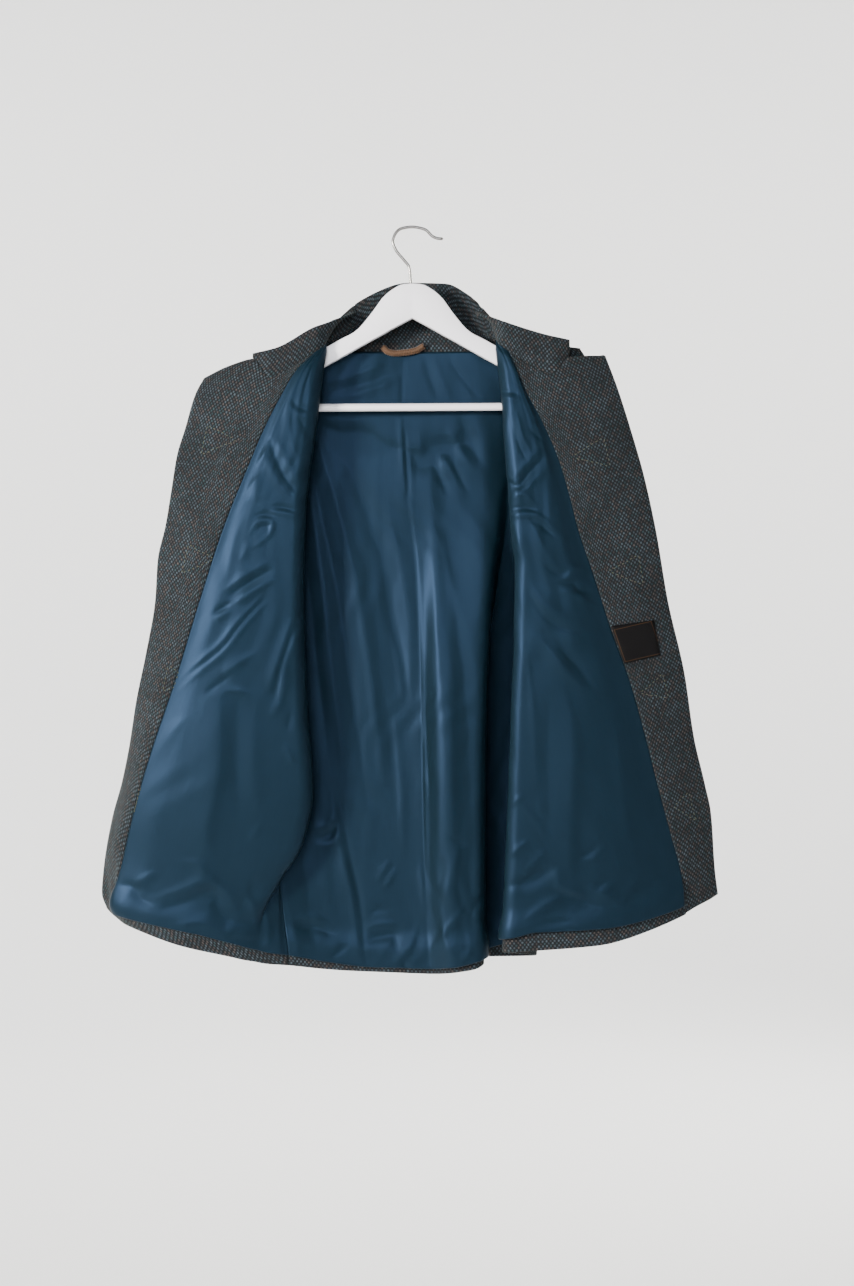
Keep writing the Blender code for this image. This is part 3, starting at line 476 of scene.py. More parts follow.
# Creases in the lining, at their places in the photograph.
LEFT_LINING_CREASES = read_off(
    # The shoulder and the armhole seam.
    (1.8, 5, ((271, 447), (255.5, 466.5))), (1.8, 5, ((261.5, 475), (248, 491))),
    (2.4, 9, ((258, 477), (257, 503))), (-2.6, 4, ((292, 400), (300, 408), (314, 411))),
    (1.8, 6, ((290, 407), (299, 415), (312, 417))),
    (-4.4, 5, ((270, 441), (276, 458), (284, 475), (299, 494))),
    (3, 8, ((278, 440), (286, 458), (294, 474), (304, 488))),
    (2.2, 6, ((262, 447), (270, 466), (279, 484), (290, 498))),
    (-2.4, 4, ((299, 417), (305, 428), (308, 440))),
    (2.2, 7, ((289, 412), (292, 440), (300, 462))),
    (-3.2, 3.6, ((273, 507), (284, 508), (297, 512))),
    (2, 4, ((272, 512.5), (284, 513.5), (296, 517))),
    (-2.6, 3.6, ((256, 516), (265, 515), (275, 516.5))),
    (2.2, 3.8, ((251, 534), (256, 524), (265, 520), (273, 523), (272, 532), (263, 541),
     (253, 547))),
    (-2, 3.2, ((258, 533), (262, 527), (268, 526), (268, 532))),
    (1.6, 5, ((250, 540), (246, 552), (242, 560))),
    # Drag lines from the armhole to the facing.
    (-4.4, 5, ((271, 570), (250, 582), (230, 597))),
    (3.2, 6, ((267, 563), (247, 575), (226, 590))), (2.8, 6, ((273, 579), (254, 591), (235, 605))),
    (-3.4, 4, ((230, 603), (215, 614))), (2, 4.5, ((232, 609), (217, 620))),
    (2.2, 4, ((261, 597), (238, 622), (222, 643), (188, 672), (176, 684))),
    (2, 4, ((266, 603), (243, 628), (227, 649), (193, 678), (180, 691))),
    (-1.6, 3.4, ((263.5, 600), (240.5, 625), (224.5, 646), (190, 675))),
    (-3.2, 5, ((233, 672), (208, 693))), (2.8, 7, ((254, 653), (238, 664), (221, 679))),
    (2, 4, ((222, 696), (229, 690), (247, 693), (248, 701))),
    (3.2, 9, ((184, 719), (166, 738), (148, 763))), (-2, 5, ((173, 687), (165, 703))),
    (1.4, 4, ((213, 565), (201, 602), (195, 613))), (1.4, 4, ((194, 631), (182, 672), (176, 682))),
    # The long fold below them, and short ones beside the valley.
    (7.5, 26, ((221, 690), (220, 730), (219, 770), (210, 816), (207, 856)), 0.55),
    (4, 7, ((290, 622), (276, 668), (269, 690))),
    (4, 7, ((301, 620), (284, 672), (282, 698), (274, 714))),
    (-3, 5, ((295, 628), (280, 670), (275, 700))), (-2.4, 4, ((291, 713), (288, 731))),
    (2.2, 4, ((285, 745), (294, 765))), (2.2, 4.5, ((261, 823), (251, 841))),
    (3, 12, ((256, 705), (254, 760), (258, 812))), (-2.2, 9, ((238, 700), (237, 760), (240, 820))),
    # Puckers above the hem.
    (2.8, 6, ((184, 861.5), (196, 861.5), (207, 875), (218, 882))),
    (-6, 9, ((163, 909), (187, 901), (204, 894), (216, 897), (219, 908), (228, 920), (250, 921))),
    (4, 9, ((158, 898), (185, 889), (206, 881), (226, 890), (236, 908))),
    (-4, 6, ((115, 894), (121, 885), (134, 886), (141, 898), (152, 904))),
    (2.6, 5, ((136, 885), (156, 872))), (2.4, 6, ((131, 832), (127, 867), (118, 882))),
    (-5, 8, ((279, 872), (300, 873), (307, 884), (296, 896), (276, 897))),
    (4, 8, ((287, 900), (293, 919), (297, 950))), (-2.4, 5, ((256, 874), (250, 893))),
    (2.8, 5, ((247, 895), (254, 908), (253, 923))), (3.2, 7, ((262, 905), (268, 925), (266, 948))),
    (2.6, 6, ((178, 925), (200, 921), (226, 935))), (-3, 6, ((230, 938), (252, 940), (275, 936))),
)
RIGHT_LINING_CREASES = read_off(
    # The shoulder and the armhole seam.
    (-2.2, 3.4, ((504, 391), (518, 394))), (1.6, 4, ((504, 398), (520, 400))),
    (2.2, 4, ((510, 413), (507, 440), (508, 465), (512, 481))),
    (-1.8, 3.2, ((512, 418), (519, 445), (526, 461))),
    (1.8, 4, ((517, 415), (524, 440), (531, 452))),
    (-4.2, 4.2, ((510, 479), (518, 487), (527, 476), (544, 457))),
    (2.8, 5.5, ((516, 476), (524, 466), (541, 448))),
    (2.4, 5, ((514, 494), (524, 490), (536, 478), (548, 468))),
    (-2.2, 3.4, ((530, 430), (542, 441))), (1.6, 4, ((533, 425), (546, 437))),
    (2.8, 5, ((512, 500), (523, 495), (534, 503))),
    (-4.2, 4, ((513, 509), (524, 508), (536, 511))),
    (3.2, 4.6, ((514, 516), (530, 514), (545, 521), (556, 532))),
    (-2.6, 3.6, ((530, 519), (543, 527), (554, 537))),
    (2.2, 4, ((517, 524), (520, 540), (522, 556))),
    # Drag lines below the armhole.
    (4.5, 13, ((530, 522), (543, 546), (558, 570))),
    (-3.4, 4.4, ((546, 567), (560, 574), (572, 570))),
    (2.4, 4.5, ((565, 581), (574, 568), (588, 571), (593, 581))),
    (-5.6, 4.4, ((560, 583), (573, 583.5), (579, 591), (586, 590), (598, 598))),
    (2.6, 4.6, ((562, 592), (574, 593), (584, 600), (598, 607))),
    (4.2, 10, ((533, 588), (549, 607), (571, 621))),
    (-3, 3.8, ((533, 600), (545, 617), (560, 627), (575, 632), (589, 633))),
    (4.8, 10, ((540, 638), (560, 664), (582, 688)), 0.2),
    (-2.4, 8, ((556, 640), (576, 660), (596, 676))),
    (-3.2, 5, ((560, 648), (580, 670), (594, 690))),
    # The long soft fold, and short ones beside it.
    (6.5, 17, ((562, 688), (571, 714), (574, 750), (572, 805), (570, 860), (576, 892)), 0.3),
    (2.2, 4.4, ((528, 655), (534, 720), (537, 784))), (1.8, 3.6, ((541, 796), (543, 818))),
    (1.8, 3.6, ((512, 806), (523, 795))),
    (1.8, 3.6, ((521, 802), (536, 821), (550, 845), (556, 856))),
    (-2, 9, ((548, 700), (549, 760), (548, 830))), (2.4, 12, ((618, 720), (622, 780), (630, 840))),
    # Puckers above the hem.
    (2.8, 5, ((511, 856), (527, 841))), (3, 5.5, ((519, 881), (546, 849))),
    (-2.8, 3.6, ((581, 857), (590, 852), (598, 842))),
    (2.2, 4, ((584, 863), (594, 858), (602, 848))),
    (-7.5, 9, ((512, 886), (530, 879), (546, 872), (554, 867))),
    (5, 6, ((556, 866), (560, 884), (582, 894))), (-5, 8, ((556, 892), (576, 899), (602, 908))),
    (4, 7, ((586, 886), (604, 893), (624, 905))), (5, 7, ((528, 918), (543, 906), (562, 897))),
    (-2.8, 3.6, ((595, 891), (606, 877))), (2, 4, ((600, 895), (611, 882))),
    (-2.2, 3.4, ((645, 896), (655, 883))), (-2.2, 3.4, ((655, 881), (665, 869))),
    (-2.2, 3.4, ((662, 879), (677, 861))), (2, 4, ((650, 893), (669, 872))),
    (-3, 5, ((532, 928), (552, 922), (572, 920))), (2.4, 5, ((618, 900), (632, 886), (638, 868))),
)
BACK_LINING_CREASES = read_off(
    # Above the hanger's bar.
    (2, 6, ((322, 385), (352, 376), (400, 356))), (-1.8, 6, ((330, 393), (368, 383), (400, 371))),
    (1.8, 5, ((352, 396), (380, 387), (398, 379))), (-2, 5, ((425, 357), (430, 376), (439, 400))),
    (1.8, 6, ((434, 357), (441, 378), (449, 398))),
    (-1.8, 5, ((450, 360), (466, 382), (478, 398))),
    # The centre seam and its small open pleat.
    (-1.4, 2.6, ((404, 355), (402, 410), (404, 450))),
    (2.6, 3.4, ((401, 412), (402.5, 450), (406, 492))),
    (-3.4, 2.8, ((405, 430), (406.5, 462), (409, 496))),
    (1.8, 3.2, ((409, 436), (411, 470), (413, 510))),
    (-1.5, 2.6, ((406, 493), (414, 544), (417, 580), (421.5, 703))),
    (1.8, 4, ((411, 500), (419, 560), (424, 640), (426, 720))),
    (-1.5, 2.6, ((421.5, 703), (424, 818), (427, 919), (430, 962))),
    (1.8, 3.6, ((427, 735), (429, 800), (429, 870))),
    (-1.6, 3, ((428, 700), (432, 760), (434, 800))),
    # The shade below the bar, and its fingers.
    (-11, 20, ((317, 421), (340, 438), (354, 436), (366, 438), (383, 447), (402, 449)), 0.5),
    (-9, 15, ((408, 452), (424, 462), (440, 452), (470, 440))),
    (-4, 4.6, ((434, 460), (440, 477), (448, 494))),
    (4.2, 7, ((437, 450), (446, 464), (457, 480))),
    (-4, 4.6, ((453, 463), (459, 475), (467, 490))),
    (4.2, 7, ((450, 430), (460, 450), (472, 468))),
    (-4.6, 8, ((460, 419), (470, 440), (483, 468))),
    # Long folds that fan from the neck.
    (-5.5, 12, ((322, 430), (341, 448), (363, 501), (381, 554), (392, 608), (399, 690))),
    (5, 10, ((320, 446), (333, 490), (342, 520), (354, 570), (363, 622), (374, 700), (384, 782))),
    (-4.5, 9, ((315, 470), (322, 518), (331, 560), (341, 612), (352, 690), (368, 800))),
    (4, 8, ((312, 500), (318, 540), (325, 600), (335, 690), (346, 780))),
    (-3, 7, ((308, 560), (313, 620), (322, 700), (330, 770))),
    (4.5, 10, ((392, 520), (404, 580), (411, 640), (412, 700))),
    (3, 5, ((391, 630), (398, 664), (402, 695))), (-2.4, 5, ((398, 628), (405, 668), (409, 700))),
    (5.5, 15, ((430, 470), (433, 530), (437, 600), (447, 700), (451, 780), (453, 835)), 0.35),
    (15, 25, ((438.5, 534.5), (441, 600), (442.5, 700), (444, 780), (445.5, 888.5), (447, 950))),
    (-2.5, 12, ((452, 560), (460, 640), (468, 740), (470, 820))),
    (2.4, 8, ((443, 545), (452, 580), (464, 622))),
    (-2.6, 8, ((386, 700), (394, 760), (398, 815))),
    (3.4, 8, ((396, 720), (402, 790), (404, 850))),
    # Puckers above the hem.
    (-5, 5.4, ((317, 838), (326, 836), (337, 824))),
    (3.4, 5.5, ((316, 828), (325, 826), (334, 815))),
    (2.8, 5, ((320, 846), (331, 844), (341, 834))),
    (-3.4, 4.6, ((338, 789), (344, 825), (350, 856), (360, 903), (366, 962))),
    (3.6, 6.5, ((331, 792), (337, 828), (343, 860), (353, 905), (359, 955))),
    (2.2, 4, ((378, 880), (390, 860))), (2.2, 4, ((385, 888), (397, 868))),
    (-2.4, 4, ((371, 915), (378, 909), (386, 911))),
    (-5, 7.5, ((366, 941), (380, 937), (393, 935), (398, 950))),
    (3, 5, ((368, 928), (382, 924), (396, 924))), (2.6, 4.6, ((421, 866), (424, 890), (427, 916))),
    (3, 5, ((435, 953), (449, 930), (464, 907))), (2.4, 4.4, ((445, 925), (451, 942), (457, 962))),
    (-2.8, 4, ((470, 917), (476, 904), (482, 891))),
    (-2.4, 4, ((452, 834), (456, 841), (466, 844))),
    (3.2, 6, ((459, 845), (453, 875), (449, 905))), (-3.2, 5, ((446, 858), (444, 888))),
    (-4.4, 5.6, ((297, 927), (312, 927), (333, 934))),
    (3, 5, ((296, 918), (312, 917), (330, 922))), (-3, 4.4, ((333, 955), (348, 945))),
    (2.6, 5, ((398, 962), (412, 944), (418, 925))), (2.8, 5, ((470, 950), (462, 962))),
    (-2.6, 4.5, ((404, 960), (408, 972))),
)

# Soft folds in the tweed that stand out from the coat's outer side.
BACK_FOLDS: tuple[Crease, ...] = (
    Crease(4.5, 30, ((-150, -300), (-140, -480), (-128, -700), (-120, -950)), 0.3),
    Crease(-3.5, 22, ((-95, -330), (-88, -520), (-80, -760), (-76, -950))),
    Crease(4, 26, ((-48, -380), (-44, -560), (-36, -780), (-30, -960)), -0.3),
    Crease(-3, 20, ((60, -420), (58, -620), (56, -940))),
    Crease(4, 22, ((150, -300), (140, -420), (128, -560))),
    Crease(-3, 12, ((-196, -330), (-160, -372), (-120, -395))),
    Crease(3, 11, ((-190, -300), (-150, -346), (-104, -366))),
    Crease(-3, 12, ((192, -326), (158, -362), (118, -384))),
    Crease(2.6, 10, ((188, -296), (150, -338), (108, -356))),
    Crease(2.5, 9, ((-60, -170), (0, -180), (58, -172))),
    Crease(-2.5, 9, ((-66, -192), (62, -194))),
)
FRONT_FOLDS: tuple[Crease, ...] = (
    Crease(-2.5, 22, ((-240, -420), (-262, -600), (-282, -800))),
    Crease(-2, 16, ((-215, -300), (-240, -420), (-262, -520))),
    Crease(-2.5, 22, ((216, -420), (232, -600), (246, -800))),
    Crease(-2, 16, ((200, -300), (214, -420), (236, -540))),
)

# Creases in a sleeve: depth, width in degrees, then the turn and share where each starts and
# ends.
SLEEVE_CREASES: tuple[tuple[float, float, float, float, float, float], ...] = (
    (5, 16, 60, 0.10, 100, 0.62), (-4, 14, 95, 0.2, 60, 0.75), (4, 15, 250, 0.12, 290, 0.7),
    (-4, 13, 280, 0.25, 240, 0.9), (3, 12, 120, 0.5, 90, 1.0), (3, 9, 50, 0.42, 135, 0.52),
    (-2.6, 9, 60, 0.47, 140, 0.57), (2.8, 9, 45, 0.54, 120, 0.63), (-2.4, 9, 40, 0.6, 105, 0.68),
    (3, 10, 130, 0.08, 80, 0.22), (-2.6, 10, 140, 0.13, 85, 0.29), (2.6, 10, 300, 0.4, 235, 0.5),
)


# ---------------------------------------------------------------- cloth


def deselect() -> None:
    """Lets go of everything that is selected."""
    bpy.ops.object.select_all(action="DESELECT")


def pick_up(thing: bpy.types.Object) -> None:
    """Selects one object alone and makes it the active one."""
    deselect()
    thing.select_set(True)
    bpy.context.view_layer.objects.active = thing


def apply_all(thing: bpy.types.Object) -> None:
    """Applies all of an object's modifiers."""
    pick_up(thing)
    for name in [modifier.name for modifier in thing.modifiers]:
        bpy.ops.object.modifier_apply(modifier=name)


def grid_uv(grid: Array, anchor: int | None, closed: bool) -> Array:
    """Lays a grid of cloth out flat, in metres.

    Args:
        grid: rows of points.
        anchor: the column along the cloth's grain, or None for all columns alike.
        closed: whether each row is a ring.

    Returns:
        U across from the anchor and V up from the hem, with one more column if closed.
    """
    if closed:
        grid = np.concatenate([grid, grid[:, :1]], axis=1)
    across = np.linalg.norm(np.diff(grid, axis=1), axis=2)
    u = np.concatenate([np.zeros((len(grid), 1)), np.cumsum(across, axis=1)], axis=1)
    if anchor is None:
        u = np.broadcast_to(u.mean(axis=0), u.shape)
    else:
        u = u - u[:, anchor:anchor + 1]
    fall = np.linalg.norm(np.diff(grid, axis=0), axis=2)
    v = np.concatenate([np.zeros((1, grid.shape[1])), np.cumsum(fall, axis=0)])
    return np.stack([u, v[-1:] - v], axis=-1)


def cloth(name: str, grid: Array, thickness: float, material: str,
          anchor: int | None = 0, closed: bool = False) -> bpy.types.Object:
    """Makes a wall of cloth.

    Args:
        name: the object's name.
        grid: rows of points in the middle of its thickness.
        thickness: in metres.
        material: the material's name.
        anchor: the column along the grain.
        closed: whether each row is a ring.

    Returns:
        The object, with a UV map in metres.
    """
    rows, columns = grid.shape[:2]
    around = columns if closed else columns - 1
    j, i = np.mgrid[0:rows - 1, 0:around]
    k = (i + 1) % columns
    faces = np.stack([j * columns + i, j * columns + k, (j + 1) * columns + k,
                      (j + 1) * columns + i], axis=-1).reshape(-1, 4)
    mesh = bpy.data.meshes.new(name)
    mesh.from_pydata(grid.reshape(-1, 3).tolist(), [], faces.tolist())
    uv = grid_uv(grid, anchor, closed)
    corners = np.stack([uv[:-1, :-1], uv[:-1, 1:], uv[1:, 1:], uv[1:, :-1]], axis=2)
    mesh.uv_layers.new(name="cut")
    mesh.uv_layers["cut"].uv.foreach_set("vector", corners.reshape(-1).astype(np.float32))
    mesh.materials.append(bpy.data.materials[material])
    mesh.shade_smooth()
    made = bpy.data.objects.new(name, mesh)
    bpy.context.scene.collection.objects.link(made)
    wall = made.modifiers.new("wall", "SOLIDIFY")
    wall.thickness = thickness
    wall.offset = 0
    apply_all(made)
    return made


def declare(made: bpy.types.Object, grid: Array, nodes: Sequence[str],
            closed: bool = False) -> None:
    """Tells the frame about a piece of cloth.

    Args:
        made: the piece.
        grid: its points, which give the size it was cut to.
        nodes: the CAD nodes that it stands for.
        closed: whether each row is a ring.
    """
    whole = np.concatenate([grid, grid[:, :1]], axis=1) if closed else grid
    width = np.linalg.norm(np.diff(whole, axis=1), axis=2).sum(axis=1).max()
    length = np.linalg.norm(np.diff(whole, axis=0), axis=2).sum(axis=0).max()
    one, two = whole[1:, 1:] - whole[:-1, :-1], whole[1:, :-1] - whole[:-1, 1:]
    area = np.linalg.norm(np.cross(one, two), axis=2).sum() / 2
    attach(made, "root")
    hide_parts(*nodes)
    LOG.info("%s: %.0f x %.0f mm, %.4f m2, %d faces", made.name, width / MM, length / MM,
             area, len(made.data.polygons))


def ride(made: bpy.types.Object, slot: Slot, *nodes: str) -> None:
    """Tells the frame about a piece that isn't cloth, and what it stands for."""
    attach(made, "root")
    if nodes:
        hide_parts(*nodes)
    LOG.info("%s: %d faces", made.name, len(made.data.polygons))


def finish(made: bpy.types.Object, material: str, slot: Slot, *nodes: str) -> None:
    """Gives a piece its material, and tells the frame about it."""
    made.data.materials.append(bpy.data.materials[material])
    ride(made, slot, *nodes)


def join(parts: Sequence[bpy.types.Object], name: str) -> bpy.types.Object:
    """Joins objects into one.

    Args:
        parts: the objects.
        name: what the whole is called.

    Returns:
        The whole.
    """
    deselect()
    for part in parts:
        part.select_set(True)
    bpy.context.view_layer.objects.active = parts[0]
    bpy.ops.object.join()
    made = bpy.context.object
    made.name = name
    return made


@dataclass
class Panel:
    """A cut piece of the coat: the surface that its tweed and linings share.

    inside is the side of du x dv on which the lining lies. before and after are the ribs
    that lie past the side seams below the underarm.
    """

    ribs: Ribs
    inside: int
    before: Rows | None = None
    after: Rows | None = None

    def __post_init__(self) -> None:
        """Measures the panel across its middle."""
        middle = np.array([rib_points(rows, np.array(MIDDLE)) for rows in self.ribs.values()])
        self.knots = gone_along(middle)
        self.at_rib = dict(zip(self.ribs, self.knots))

    def surface(self, across: Array, down: Array) -> Array:
        """Reads the surface.

        Args:
            across: metres across the middle.
            down: shares of the way from the top edge to the hem.

        Returns:
            Points.
        """
        stack = [rib_points(rows, down) for rows in self.ribs.values()]
        knots = list(self.knots)
        if self.before is not None:
            stack.insert(0, self.past(stack[0], stack[1], self.before, down))
            knots.insert(0, -(self.knots[1] - self.knots[0]))
        if self.after is not None:
            stack.append(self.past(stack[-1], stack[-2], self.after, down))
            knots.append(2 * self.knots[-1] - self.knots[-2])
        return smooth(knots, np.array(stack), across)

    def past(self, edge: Array, inner: Array, rows: Rows, down: Array) -> Array:
        """Goes on past a side edge: straight over the armhole, and round it below.

        Args:
            edge: the edge's points.
            inner: the next rib's points.
            rows: the rib past the seam.
            down: the share of each point.

        Returns:
            Points past the edge.
        """
        bent = ease((UNDERARM + ROUND_ABOVE - edge[..., 2:3]) / ROUND_OVER)
        return (2 * edge - inner) * (1 - bent) + rib_points(rows, down) * bent

    def normals(self, across: Array, down: Array) -> Array:
        """Gives the normals towards the lining."""
        little = 1e-4
        along = self.surface(across + little, down) - self.surface(across - little, down)
        fall = self.surface(across, down + little) - self.surface(across, down - little)
        return unit(np.cross(along, fall)) * self.inside

    def columns(self, first: str, last: str, step: float) -> Array:
        """Spaces columns between two ribs, one on each rib.

        Args:
            first: the first rib.
            last: the last rib.
            step: the widest gap, in metres.

        Returns:
            How far across each one is.
        """
        names = list(self.ribs)
        inner = self.knots[names.index(first):names.index(last) + 1]
        found = [inner[0]]
        for start, end in zip(inner, inner[1:]):
            count = max(1, math.ceil((end - start) / step))
            found += [start + (end - start) * (n + 1) / count for n in range(count)]
        return np.array(found)

    def share_at(self, across: Array, height: Array | float) -> Array:
        """Says how far down each column a height is.

        Args:
            across: the columns.
            height: Z for each, in metres.

        Returns:
            Shares of the way from the top edge to the hem.
        """
        top = self.surface(across, np.zeros_like(across))[..., 2]
        hem = self.surface(across, np.ones_like(across))[..., 2]
        return (top - height) / (top - hem)

    def outer(self, across: Array, height: Array | float, lift: Array | float) -> Array:
        """Finds places on the outer face.

        Args:
            across: metres across.
            height: Z of each, in metres.
            lift: metres off the tweed.

        Returns:
            Points.
        """
        across = np.asarray(across, float)
        share = self.share_at(across, height)
        off = np.broadcast_to(lift, across.shape)[..., None] + TWEED
        return self.surface(across, share) - self.normals(across, share) * off

    def net(self, across: Array, top: Array | float, foot: Array | float,
            rows: int) -> tuple[Array, Array]:
        """Spreads a net of places over part of the panel.

        Args:
            across: the columns.
            top: the share at which each column starts.
            foot: the share at which it ends.
            rows: how many rows.

        Returns:
            Metres across and shares down, row by row.
        """
        t = np.linspace(0, 1, rows)[:, None]
        start = np.broadcast_to(top, across.shape)
        end = np.broadcast_to(foot, across.shape)
        return np.broadcast_to(across, (rows, len(across))).copy(), start + (end - start) * t


@dataclass
class Sewn:
    """A finished grid of cloth, on which stitches and labels find their place."""

    grid: Array
    normals: Array

    def place(self, side: float, height: float, lift: float) -> Vector:
        """Finds the point that looks to be at a place.

        Args:
            side: in millimetres, as seen.
            height: in millimetres, as seen.
            lift: metres off the cloth.

        Returns:
            The point.
        """
        seen = as_seen(self.grid)
        want = np.array([side, height])
        gap = np.linalg.norm(seen - want, axis=-1)
        j, i = np.unravel_index(gap.argmin(), gap.shape)
        j = min(max(j, 1), self.grid.shape[0] - 2)
        i = min(max(i, 1), self.grid.shape[1] - 2)
        over = (seen[j, i + 1] - seen[j, i - 1]) / 2
        down = (seen[j + 1, i] - seen[j - 1, i]) / 2
        a, b = np.linalg.solve(np.stack([over, down], axis=1), want - seen[j, i])
        a, b = np.clip((a, b), -1.5, 1.5)
        point = (self.grid[j, i] + a * (self.grid[j, i + 1] - self.grid[j, i - 1]) / 2
                 + b * (self.grid[j + 1, i] - self.grid[j - 1, i]) / 2)
        return Vector(point + self.normals[j, i] * lift)


# ---------------------------------------------------------------- the coat's pieces


@dataclass
class Body:
    """The back or one front: its tweed with the turned-up hem, and what is sewn inside."""

    name: str
    nodes: tuple[str, ...]
    panel: Panel
    edges: tuple[str, str]
    lining_to: tuple[str, str]
    anchor: str
    facing_from: str | None = None
    tweed_step: float = 0.0055
    lining_step: float = 0.0024
    rows: int = 150
    lining_rows: int = 320
    turn_up: float = 0.036
    stand_off: float = 0.0027
    softened: float = 0.55  # the share of each crease's depth that the lining takes
    closest: float = 0.0009
    over_hem: float = 0.0030
    puffed: float = 0.0016
    fold_base: float = 0.0012
    hem_gap: float = 1.3 * MM
    seam: str = ""
    folds: tuple[Crease, ...] = ()
    creases: tuple[Crease, ...] = ()
    waves: tuple[tuple[float, float], ...] = ()
    seed: int = 1

    def outside(self, points: Array) -> Array:
        """Gives the normals away from the lining of a grid of points."""
        return -grid_normals(points) * self.panel.inside

    def tweed(self) -> None:
        """Makes the tweed, rolled in at the shoulder and turned up at the hem."""
        first, last = self.edges
        across = self.panel.columns(first, last, self.tweed_step)
        if self.seam:
            beside = np.array([-6, -3.5, -1.8, -0.8, 0.8, 1.8, 3.5, 6]) * MM
            across = np.unique(np.concatenate([across, self.panel.at_rib[self.seam] + beside]))
        net = self.panel.net(across, 0, 1, self.rows)
        points = self.panel.surface(*net)
        out = self.outside(points)
        face = points + out * (TWEED / 2 + self.outer_lift(points, *net))[..., None]
        step = np.linalg.norm(points[-1] - points[-2], axis=1).mean()
        up = int(self.turn_up / step)
        rolled = self.roll(points[-1], out[-1], unit(points[-1] - points[-2]))
        inner = points[::-1][:up] - out[::-1][:up] * self.hem_gap
        hem_columns = len(across)
        if self.facing_from is not None:
            keep = self.panel.at_rib[self.facing_from] + 0.008
            hem_columns = int((across < keep).sum())
        top = self.shoulder(face)
        made = cloth("tweed_" + self.name, np.concatenate([top, face]), TWEED, "wool tweed",
                     self.anchor_column(across))
        hem_grid = np.concatenate([rolled, inner])[:, :hem_columns]
        hem = cloth("hem_" + self.name, hem_grid, TWEED, "wool tweed",
                    min(self.anchor_column(across), hem_columns - 1))
        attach(hem, "root")
        cut = [top, face] + ([hem_grid] if hem_columns == len(across) else [])
        declare(made, np.concatenate(cut), self.nodes)

    def outer_lift(self, points: Array, across: Array, down: Array) -> Array:
        """Says how far the tweed's folds stand out, and how far its seam sinks in.

        Args:
            points: the panel's surface.
            across: metres across.
            down: shares down.

        Returns:
            Metres.
        """
        seen = as_seen(points)
        lift = sum((fold.rise(seen) for fold in self.folds), np.zeros(down.shape))
        lift = soft_floor(lift + self.fold_base)
        inside = across[0, -1]
        if self.facing_from:  # the leather patches start 81 mm from the front edge
            inside = min(self.panel.at_rib[self.facing_from], across[0, -1] - 0.090)
        lift *= (ease((across - across[0, 0]) / 0.02) * ease((inside - across) / 0.02)
                 * ease(down / 0.06) * ease((1 - down) / 0.05))
        if self.seam:
            off = (across - self.panel.at_rib[self.seam]) / MM
            lift += 0.0005 * np.exp(-(off / 4) ** 2) - 0.0014 * np.exp(-(off / 0.8) ** 2)
        return lift

    def anchor_column(self, across: Array) -> int:
        """Finds the column nearest the rib along which the grain runs."""
        return int(np.abs(across - self.panel.at_rib[self.anchor]).argmin())

    def roll(self, edge: Array, out: Array, down: Array) -> Array:
        """Rolls the tweed round at the hem.

        Args:
            edge: the hem's points.
            out: the way out of the cloth there.
            down: the way on down the cloth there.

        Returns:
            Rows of points round the edge.
        """
        radius = (TWEED / 2 + self.hem_gap) / 2
        middle = TWEED / 2 - radius
        turns = np.radians(np.linspace(0, 150, 6))[:, None, None]
        return edge + out * (middle + radius * np.cos(turns)) + down * radius * np.sin(turns)

    def shoulder(self, face: Array) -> Array:
        """Rolls the top edge in to the shoulder seam.

        Args:
            face: the middle of the tweed.

        Returns:
            Rows of points above it.
        """
        top = face[0]
        near = ease((0.0095 - np.abs(top[:, 1])) / 0.003)[:, None]
        shift = np.zeros_like(top)
        shift[:, 1] = 0.0012 * np.sign(top[:, 1]) - top[:, 1]
        half = top + near * (0.5 * shift + np.array([0, 0, 0.0016]))
        full = top + near * (shift + np.array([0, 0, 0.0018]))
        return np.stack([full, half])

    def lining(self) -> None:
        """Makes the lining, with its creases and its soft edge above the hem."""
        first, last = self.lining_to
        across = self.panel.columns(first, last, self.lining_step)
        bare = np.interp(self.panel.surface(across, np.ones_like(across))[:, 0] / MM,
                         *zip(*LINING_FOOT)) * MM
        top_edge = self.panel.surface(across, np.zeros_like(across))
        hem = self.panel.surface(across, np.ones_like(across))
        long = top_edge[:, 2] - hem[:, 2]
        start = np.full(len(across), 0.0004) if self.facing_from else (
            self.panel.share_at(across, np.minimum(top_edge[:, 2] - 0.002, -0.158)))
        net = self.panel.net(across, start, 1 - bare / long, self.lining_rows)
        points = self.panel.surface(*net)
        inwards = -self.outside(points)
        lift = self.lining_lift(points, *net, long)
        face = points + inwards * lift[..., None]
        foot_down = unit(face[-1] - face[-2])
        turns = np.radians(np.linspace(20, 180, 6))[:, None, None]
        curl = face[-1] + inwards[-1] * 0.0011 * (np.cos(turns) - 1) + (
            foot_down * 0.0011 * np.sin(turns))
        behind = points[::-1][:4] + inwards[::-1][:4] * (lift[::-1][:4] - 0.0022)[..., None]
        grid = np.concatenate([face, curl, behind])
        made = cloth("satin_" + self.name, grid, LINING, "satin lining",
                     self.anchor_column(across))
        declare(made, grid, ["lining_" + self.name])

